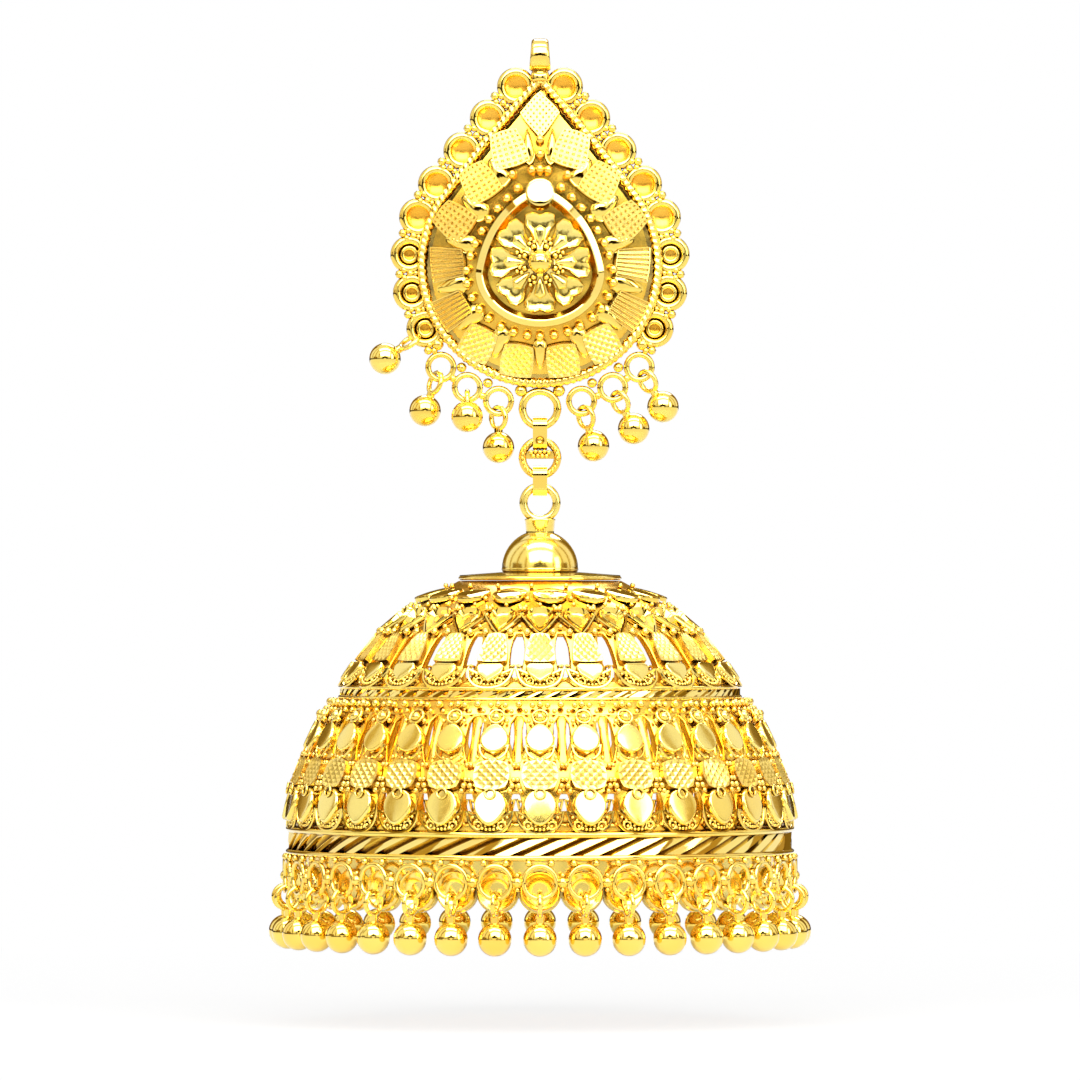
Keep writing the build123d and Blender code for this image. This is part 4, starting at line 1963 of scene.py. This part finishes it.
@dataclass
class LowerTier(Tier):
    """The steep lower tier: beads, discs, plaques and cradles in bays, with gaps between them."""

    node: str = "lower_tier"
    wall: Wall = Wall((
        (14.0, -31.05), (14.9, -32.3), (15.85, -34.3), (16.7, -36.5), (17.05, -38.3), (17.1, -39.9),
    ))
    bays: int = 32
    openings: Profile = (
        (-39.9, 0), (-39.4, 0), (-39.2, 0.24), (-38.5, 0.4), (-37.8, 0.42), (-37.2, 0.24),
        (-37.0, 0), (-36.2, 0), (-35.3, 0), (-35.1, 0.3), (-34.3, 0.6), (-33.4, 0.62),
        (-32.5, 0.5), (-32.1, 0.2), (-31.95, 0), (-31.05, 0),
    )
    inset: float = 0.35
    disc_z: float = -33.65
    disc_r: float = 0.96
    disc_point: float = 0.2
    drop_z: float = -38.0
    drop_r: float = 1.12
    drop_point: float = 0.28
    drop_tilt: float = -5.0
    arch_z: float = -32.15
    arch_r: float = 0.5
    arch_wire: float = 0.1
    bead_r: float = 0.34
    bead_fall: float = 0.05
    arch_lift: float = 0.05
    eye_z: float = -37.25
    eye_r: float = 0.34
    eye_wire: float = 0.09
    eye_lift: float = 0.3
    plaque_z: float = -36.0
    plaque_size: tuple[float, float, float] = (1.1, 1.1, 0.95)
    plaque_swell: float = 0.22
    plaque_lift: float = 0.14
    saddle: Cradle = Cradle(half_width=0.98, height=1.05, notch=0.6, gauge=0.09)
    saddle_z: float = -34.0
    cradle: Cradle = Cradle(half_width=1.58, height=1.5, notch=0.95, gauge=0.11)
    cradle_z: float = -38.35
    cradle_sink: float = 0.05
    cradle_eye_r: float = 0.26
    cradle_eye_wire: float = 0.08
    cradle_eye_at: tuple[float, float] = (0.8, -0.98)
    post_top: float = -31.7
    post_low: float = -35.5
    post_inset: float = 0.6
    post_half: float = 0.34
    post_flare: float = 0.08
    post_depth: float = 0.12
    edge_grain_r: float = 0.125
    edge_half: float = 1.46
    edge_height: float = 1.45
    edge_sink: float = 0.06
    # The large grains of the top row: one over each bay and one between each two, half a bay
    # away as measured at the last height.
    top_z: float = -31.35
    top_grain_r: float = 0.26
    half_bay_z: float = -31.4
    # The other grains in a bay: distance across, height, radius.
    bay_grains: Spots = (
        (0.5, -31.4, 0.22), (0.95, -31.8, 0.17), (0.75, -32.45, 0.17), (1.42, -36.7, 0.22),
        (1.5, -36.3, 0.19), (1.3, -37.05, 0.2), (1.45, -35.35, 0.18), (1.05, -34.85, 0.16),
        (0.0, -35.0, 0.14), (0.3, -34.9, 0.12),
    )
    bay_grain_lift: float = 0.05

    def build(self) -> None:
        """Builds the tier."""
        self.pierced()
        self.discs()
        plaque = cross_milled(tapered(*self.plaque_size), (8, 7), swell=self.plaque_swell)
        place = self.wall.seat(self.plaque_z, 0, self.plaque_lift)
        self.laid("plaques", KNURLED, shift(plaque, place))
        self.cradles()
        self.posts()
        self.grains()

    def discs(self) -> None:
        """Sets the two rows of polished discs, and the arches and eyes above them."""
        outline = pointed(self.disc_r, self.disc_point, angle=90)
        upper = boss(outline, pill(height=0.24, crown=0.02, skirt=0.35), around=32)
        shift(upper, self.wall.seat(self.disc_z))
        outline = pointed(self.drop_r, self.drop_point)
        lower = boss(outline, pill(height=0.26, crown=0.02, skirt=0.35), around=32)
        shift(lower, self.wall.seat(self.drop_z) @ nod(self.drop_tilt))
        self.laid("discs", BURNISHED, upper, lower)
        arch = hoop(self.arch_r, self.arch_wire, around=24, across=8)
        shift(arch, self.wall.seat(self.arch_z, 0, self.arch_lift))
        bead = ball(self.bead_r, around=16, up=10)
        shift(bead, self.wall.seat(self.arch_z - self.bead_fall, 0, self.arch_lift))
        eye = hoop(self.eye_r, self.eye_wire, around=20, across=8)
        shift(eye, self.wall.seat(self.eye_z, 0, self.eye_lift))
        self.laid("eyes", POLISHED, arch, bead, eye)

    def cradles(self) -> None:
        """Sets the saddles under the upper discs and the cradles under the lower ones."""
        saddle = shift(self.saddle.made(), self.wall.seat(self.saddle_z))
        x, y = self.cradle_eye_at
        radius, gauge = self.cradle_eye_r, self.cradle_eye_wire
        eyes = [
            shift(hoop(radius, gauge, around=16, across=6), step(side * x, y))
            for side in LEFT_RIGHT
        ]
        place = self.wall.seat(self.cradle_z, 0, -self.cradle_sink)
        self.laid("cradles", GRANULATED, saddle, shift(self.cradle.made(*eyes), place))

    def posts(self) -> None:
        """Stands a flat bar in each gap."""

        def path(share: float) -> Vector:
            """The bar's middle line, from its top down, half a bay beside the front."""
            z = self.post_top + (self.post_low - self.post_top) * share
            return round_point(self.wall.radius(z) - self.post_inset, math.pi / self.bays, z)

        def section(share: float, angle: float) -> tuple[float, float]:
            """The bar's flat oval, broader at its ends."""
            half = self.post_half + self.post_flare * math.cos(math.tau * share)
            return half * math.cos(angle), self.post_depth * math.sin(angle)

        self.laid("posts", GROUND, wire(path, section, steps=10))

    def grains(self) -> None:
        """Strews the grains along the top and between the ornaments."""
        half_bay = math.pi * self.wall.radius(self.half_bay_z) / self.bays
        top_row = ((x, self.top_z, self.top_grain_r) for x in (0.0, half_bay))
        bay = self.strewn((*top_row, *self.bay_grains), self.bay_grain_lift)
        place = self.wall.seat(self.cradle_z, 0, -self.edge_sink)
        edge = self.cradle.edging(place, self.edge_grain_r, self.edge_half, self.edge_height)
        self.laid("grains", GRANULATED, bay, edge)


@dataclass
class FlutedBand:
    """A bright-cut band round the bell: slanting flutes between two wires."""

    node: str
    outer: float
    inner: float
    top: float
    low: float
    flutes: int
    slant: float
    depth: float
    wire_r: float
    land: float = 0.12
    wire_inset: float = 0.02
    # Depth of the cut at even steps over one flute, in shares of the band's depth.
    cut: tuple[float, ...] = (1.0, 0.34, 0.17, 0.0)

    def build(self) -> None:
        """Builds the band."""
        columns = self.flutes * len(self.cut)
        middle = (self.top + self.low) / 2
        outside = [
            (self.top, 0.0), (self.top - self.land, self.depth), (middle, self.depth),
            (self.low + self.land, self.depth), (self.low, 0.0),
        ]
        levels = [(z, self.outer, depth) for z, depth in outside]
        levels += [(z, self.inner, 0.0) for z, _ in reversed(outside)]
        levels.append(levels[0])

        def rule(u: float, v: float) -> Vector:
            """The band, down its outside and up its inside.

            Args:
                u: share round it.
                v: share down and up.

            Returns:
                The point.
            """
            z, radius, depth = levels[round(v * (len(levels) - 1))]
            radius -= depth * self.cut[round(u * columns) % len(self.cut)]
            return round_point(radius, math.tau * u + (z - self.low) * self.slant / self.outer, z)

        band = soften(shell(rule, columns, len(levels) - 1), FLUTE_ANGLE)
        finished(f"{self.node}_flutes", [band], Body.BELL, BRIGHT_CUT, self.node)
        radius = self.outer - self.wire_inset
        edges = [
            shift(hoop(radius, self.wire_r, around=160, across=10), on_axis(z))
            for z in (self.top, self.low)
        ]
        finished(f"{self.node}_wires", edges, Body.BELL, POLISHED, self.node)


@dataclass
class Rim:
    """The rings, ties and beads under the rim band, and the cupped leaves behind them."""

    places: int = 36
    radius: float = 17.3
    ring_z: float = -43.1
    ring_r: float = 1.09
    ring_wire: float = 0.17
    tie_r: float = 0.38
    tie_grain_r: float = 0.17
    tie_grain_y: float = 0.48
    bead_z: float = -41.83
    bead_r: float = 0.22
    skirt_r: float = 16.2
    leaf_z: float = -43.72
    leaf_r: float = 1.36
    # The cupped leaf from its middle to its back: share of its radius, height.
    leaf_profile: Profile = (
        (0, -0.02), (0.3, 0.0), (0.55, 0.09), (0.75, 0.24), (0.87, 0.4), (0.94, 0.45), (1, 0.32),
        (1, -0.2), (0, -0.2),
    )

    def build(self) -> None:
        """Builds the rings and the skirt's leaves, and dresses the skirt and the drops."""
        front = facing(AXIS_Y - self.radius, self.ring_z)
        rings = round_axis(shift(hoop(self.ring_r, self.ring_wire, around=36), front), self.places)
        finished("rim_rings_wire", [rings], Body.BELL, POLISHED, "rim_rings")
        tie = [shift(ball(self.tie_r, around=14, up=8), front)]
        for side in LEFT_RIGHT:
            tie.append(shift(grain(self.tie_grain_r), front @ step(y=side * self.tie_grain_y)))
        ties = round_axis(join(tie), self.places, 0.5)
        bead = ball(self.bead_r, around=14, up=8)
        shift(bead, step(y=AXIS_Y - self.radius, z=self.bead_z))
        beads = round_axis(bead, 2 * self.places, 0.5)
        finished("rim_rings_ties", [ties, beads], Body.BELL, GRANULATED, "rim_rings")
        leaf = boss(circle(self.leaf_r), self.leaf_profile, around=32)
        place = facing(AXIS_Y - self.skirt_r, self.leaf_z)
        leaves = round_axis(shift(leaf, place), self.places)
        finished("rim_skirt_leaves", [leaves], Body.BELL, BURNISHED)
        dressed(BURNISHED, "rim_skirt")
        dressed(POLISHED, *(f"rim_drop_{n:02d}" for n in range(1, self.places + 1)))


@dataclass
class Crown:
    """The top of the bell: the wires at the feet of its cap and plate, and the neck's flare."""

    foot_r: float = 2.4
    foot_wire: float = 0.21
    foot_z: float = -22.36
    bezel_r: float = 5.4
    bezel_wire: float = 0.14
    bezel_z: float = -22.95
    flare_z: float = -18.93
    # The flare from its top: radius, height.
    flare: Profile = (
        (0, 0), (0.98, 0), (1.05, -0.05), (1.05, -0.1), (1.02, -0.14), (0.95, -0.84),
        (0.9, -0.94), (0, -0.94),
    )

    def build(self) -> None:
        """Dresses the cap and its plate, and adds the wires and the flare."""
        dressed(BURNISHED, "bell_finial", "crown_plate")
        foot = shift(hoop(self.foot_r, self.foot_wire, around=64), on_axis(self.foot_z))
        bezel = hoop(self.bezel_r, self.bezel_wire, around=96, across=10)
        shift(bezel, on_axis(self.bezel_z))
        finished("crown_wires", [foot, bezel], Body.BELL, POLISHED)
        collar = shift(boss(circle(1.0), self.flare, around=40), on_axis(self.flare_z))
        finished("finial_collar", [collar], Body.BELL, POLISHED)


@dataclass
class Bell:
    """The bell, from its crown down to the rim."""

    middle_band: FlutedBand = field(default_factory=lambda: FlutedBand(
        "middle_band", outer=13.6, inner=13.2, top=-30.3, low=-31.0, flutes=72, slant=2.0,
        depth=0.08, wire_r=0.13,
    ))
    rim_band: FlutedBand = field(default_factory=lambda: FlutedBand(
        "rim_band", outer=17.1, inner=16.55, top=-39.95, low=-41.5, flutes=54, slant=2.3,
        depth=0.45, wire_r=0.2,
    ))

    def build(self) -> None:
        """Builds the bell from its crown down."""
        for part in (Crown(), UpperTier(), self.middle_band, LowerTier(), self.rim_band, Rim()):
            part.build()


# ---------------------------------------------------------------- the studio


@dataclass(frozen=True)
class Lamp:
    """A soft lamp: its place from the object's middle, its size and its power."""

    name: str
    place: tuple[float, float, float]
    width: float
    height: float
    power: float

    def hang(self, middle: Vector, lights_floor: bool) -> None:
        """Hangs the lamp.

        Args:
            middle: the object's middle, which it is aimed at.
            lights_floor: whether it lights the floor too, where it casts the shadow.
        """
        light = bpy.data.lights.new(self.name, "AREA")
        light.shape = "RECTANGLE"
        light.size, light.size_y, light.energy = self.width, self.height, self.power
        lamp = bpy.data.objects.new(self.name, light)
        bpy.context.collection.objects.link(lamp)
        lamp.location = middle + Vector(self.place)
        lamp.rotation_euler = (-Vector(self.place)).to_track_quat("-Z", "Y").to_euler()
        lamp.visible_diffuse = lights_floor


@dataclass(frozen=True)
class Cards:
    """Upright cards of one colour that stand round the object for the metal to mirror.

    Angles are in degrees as seen from the object's middle: turns from the front, then half the
    breadth of a card and the heights of its lower and upper edge.
    """

    shade: str
    turns: tuple[float, ...]
    half: float
    low: float
    high: float


@dataclass
class Studio:
    """A pale floor, a white surround, soft lamps, dark cards for the metal to mirror, a camera.

    Lengths are in metres, but for the lens and its sensor in millimetres.
    """

    distance: float = 0.755
    frame_share: float = 0.84
    aim_drop: float = 0.0032
    sensor: float = 36.0
    clip: tuple[float, float] = (0.01, 20)
    soft_surround: float = 0.3
    floor_gap: float = 0.0052
    floor_size: float = 6.0
    floor_shade: str = "#FBFBFB"
    # The floor glows by this share near the object, and fully from the second distance on.
    floor_glow: float = 0.84
    fade_from: float = 0.04
    fade_to: float = 0.14
    mirrored_fall: float = 6.0
    lamps: tuple[Lamp, ...] = (
        Lamp("key", (0.03, -0.6, 0.47), 1.05, 0.52, 11.0),
        Lamp("fill", (0.6, -0.4, 0.2), 0.2, 0.4, 1.2),
        Lamp("top", (0.0, -0.18, 0.72), 0.9, 0.22, 4.6),
        Lamp("back", (0.1, 0.6, 0.6), 0.5, 0.3, 3.0),
    )
    floor_lamp: str = "key"
    card_distance: float = 0.92
    cards: tuple[Cards, ...] = (
        Cards("#B8964A", tuple(range(-165, 180, 30)), 3.5, 3.0, 60.0),
        Cards("#46320E", tuple(22.3 + 28.67 * n for n in range(12)), 14.5, -1.9, 2.8),
        Cards("#886A24", (-75, 75), 18.0, 3.0, 12.0),
        Cards("#80621E", (150, 180, 210), 14.0, 3.0, 42.0),
    )
    # The small card in front, which darkens the upper half of each ball towards its middle.
    front_shade: str = "#1C0D02"
    front_y: float = -0.25
    front_rise: float = 0.067
    front_size: tuple[float, float] = (0.24, 0.086)
    front_taper: float = 0.03

    def build(self) -> None:
        """Sets up the studio round the finished object."""
        low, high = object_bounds()
        middle = (low + high) / 2
        self.surround()
        self.floor(low.z)
        for lamp in self.lamps:
            lamp.hang(middle, lamp.name == self.floor_lamp)
        self.stand_cards(middle)
        self.camera(low, high)

    def surround(self) -> None:
        """Makes the world white to the eye and to the metal, and a soft light for the floor."""
        world = bpy.data.worlds.new("surround")
        bpy.context.scene.world = world
        world.use_nodes = True
        tree = world.node_tree
        tree.nodes.clear()
        path = add_node(tree, "ShaderNodeLightPath").outputs
        seen = add_node(
            tree, "ShaderNodeMath", {0: path["Is Camera Ray"], 1: path["Is Transmission Ray"]},
            operation="MAXIMUM",
        )
        white = add_node(
            tree, "ShaderNodeMath", {0: seen.outputs[0], 1: path["Is Glossy Ray"]},
            operation="MAXIMUM",
        )
        strength = add_node(
            tree, "ShaderNodeMapRange", {"Value": white.outputs[0]},
            {"To Min": self.soft_surround, "To Max": 1.0},
        )
        back = add_node(
            tree, "ShaderNodeBackground", {"Strength": strength.outputs["Result"]},
            {"Color": (1, 1, 1, 1)},
        )
        add_node(tree, "ShaderNodeOutputWorld", {"Surface": back.outputs["Background"]})

    def floor(self, low: float) -> None:
        """Lays the pale floor where the bell clears it at full swing.

        The board takes the object's shadow and glows a little, so that it fades to white far
        off. In the metal it shows darker near the object, and it casts no glow on it.

        Args:
            low: height of the object's lowest point.
        """
        floor = added(
            bpy.ops.mesh.primitive_plane_add, size=self.floor_size,
            location=(0, 0, low - self.floor_gap),
        )
        floor.name = "floor"
        paint = bare_material("matt_white_board")
        tree = paint.node_tree
        board = add_node(
            tree, "ShaderNodeBsdfDiffuse", values={"Color": linear(self.floor_shade)}
        )
        white = add_node(
            tree, "ShaderNodeEmission", values={"Color": (1, 1, 1, 1), "Strength": 1.0}
        )
        place = add_node(tree, "ShaderNodeTexCoord").outputs["Object"]
        far = add_node(tree, "ShaderNodeVectorMath", {0: place}, operation="LENGTH")
        fade = add_node(
            tree, "ShaderNodeMapRange", {"Value": far.outputs["Value"]},
            {"From Min": self.fade_from, "From Max": self.fade_to, "To Min": self.floor_glow},
            interpolation_type="SMOOTHSTEP",
        )
        path = add_node(tree, "ShaderNodeLightPath").outputs
        direct = add_node(
            tree, "ShaderNodeMath", {1: path["Is Diffuse Ray"]}, {0: 1.0}, operation="SUBTRACT"
        )
        power = add_node(
            tree, "ShaderNodeMath", {0: path["Is Glossy Ray"]}, {1: self.mirrored_fall, 2: 1.0},
            operation="MULTIPLY_ADD",
        )
        glow = add_node(
            tree, "ShaderNodeMath", {0: fade.outputs["Result"], 1: power.outputs[0]},
            operation="POWER",
        )
        share = add_node(
            tree, "ShaderNodeMath", {0: glow.outputs[0], 1: direct.outputs[0]},
            operation="MULTIPLY",
        )
        mix = add_node(
            tree, "ShaderNodeMixShader",
            {"Fac": share.outputs[0], 1: board.outputs["BSDF"], 2: white.outputs["Emission"]},
        )
        add_node(tree, "ShaderNodeOutputMaterial", {"Surface": mix.outputs["Shader"]})
        floor.data.materials.append(paint)
        floor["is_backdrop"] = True

    def stand_cards(self, middle: Vector) -> None:
        """Stands the cards; only the metal sees them.

        Args:
            middle: the object's middle.
        """
        number, far = 0, self.card_distance
        for row in self.cards:
            low, high = (far * math.tan(math.radians(edge)) for edge in (row.low, row.high))
            size = (2 * far * math.tan(math.radians(row.half)), high - low)
            for turn in row.turns:
                aim = math.radians(turn)
                place = Vector((math.sin(aim) * far, -math.cos(aim) * far, (low + high) / 2))
                self.card(f"card_{number:02d}", middle + place, aim, size, row.shade)
                number += 1
        at = Vector((0, self.front_y, middle.z + self.front_rise))
        front = self.card("card_front", at, 0, self.front_size, self.front_shade)
        for vertex in front.data.vertices:
            if vertex.co.y > 0:
                vertex.co.x *= self.front_taper

    def card(
        self, name: str, place: Vector, aim: float, size: tuple[float, float], shade: str
    ) -> Part:
        """Adds one upright card, unseen by the camera.

        Args:
            name: its name.
            place: its middle.
            aim: its turn about the upright, in radians from the front.
            size: its width and height.
            shade: its colour.

        Returns:
            The card.
        """
        paint = bare_material(f"card{shade[1:]}")
        glow = add_node(
            paint.node_tree, "ShaderNodeEmission", values={"Color": linear(shade)}
        )
        add_node(
            paint.node_tree, "ShaderNodeOutputMaterial", {"Surface": glow.outputs["Emission"]}
        )
        card = added(
            bpy.ops.mesh.primitive_plane_add, size=1, location=place,
            rotation=(math.radians(90), 0, aim),
        )
        card.name = name
        card.scale = (*size, 1)
        card.data.materials.append(paint)
        card.visible_camera = False
        card.visible_shadow = False
        card.visible_diffuse = False
        card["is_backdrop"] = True
        return card

    def camera(self, low: Vector, high: Vector) -> None:
        """Places the camera straight in front, aimed a little under the object's middle.

        Args:
            low: the lowest corner of the object's box.
            high: its highest corner.
        """
        lens = bpy.data.cameras.new("camera")
        lens.sensor_width = self.sensor
        lens.lens = self.sensor * self.distance * self.frame_share / (high.z - low.z)
        lens.clip_start, lens.clip_end = self.clip
        camera = bpy.data.objects.new("camera", lens)
        bpy.context.collection.objects.link(camera)
        height = (low.z + high.z) / 2 - self.aim_drop
        camera.location = ((low.x + high.x) / 2, -self.distance, height)
        camera.rotation_euler = (math.radians(90), 0, 0)
        bpy.context.scene.camera = camera


def main() -> None:
    """Builds the earring from the ear top down, then the studio round it."""
    logging.basicConfig(level=logging.INFO, format="%(message)s")
    for part in (EarTop(), Links(), Bell(), Studio()):
        part.build()
    bpy.context.scene.view_settings.view_transform = "Standard"


if __name__ == "__main__":
    main()
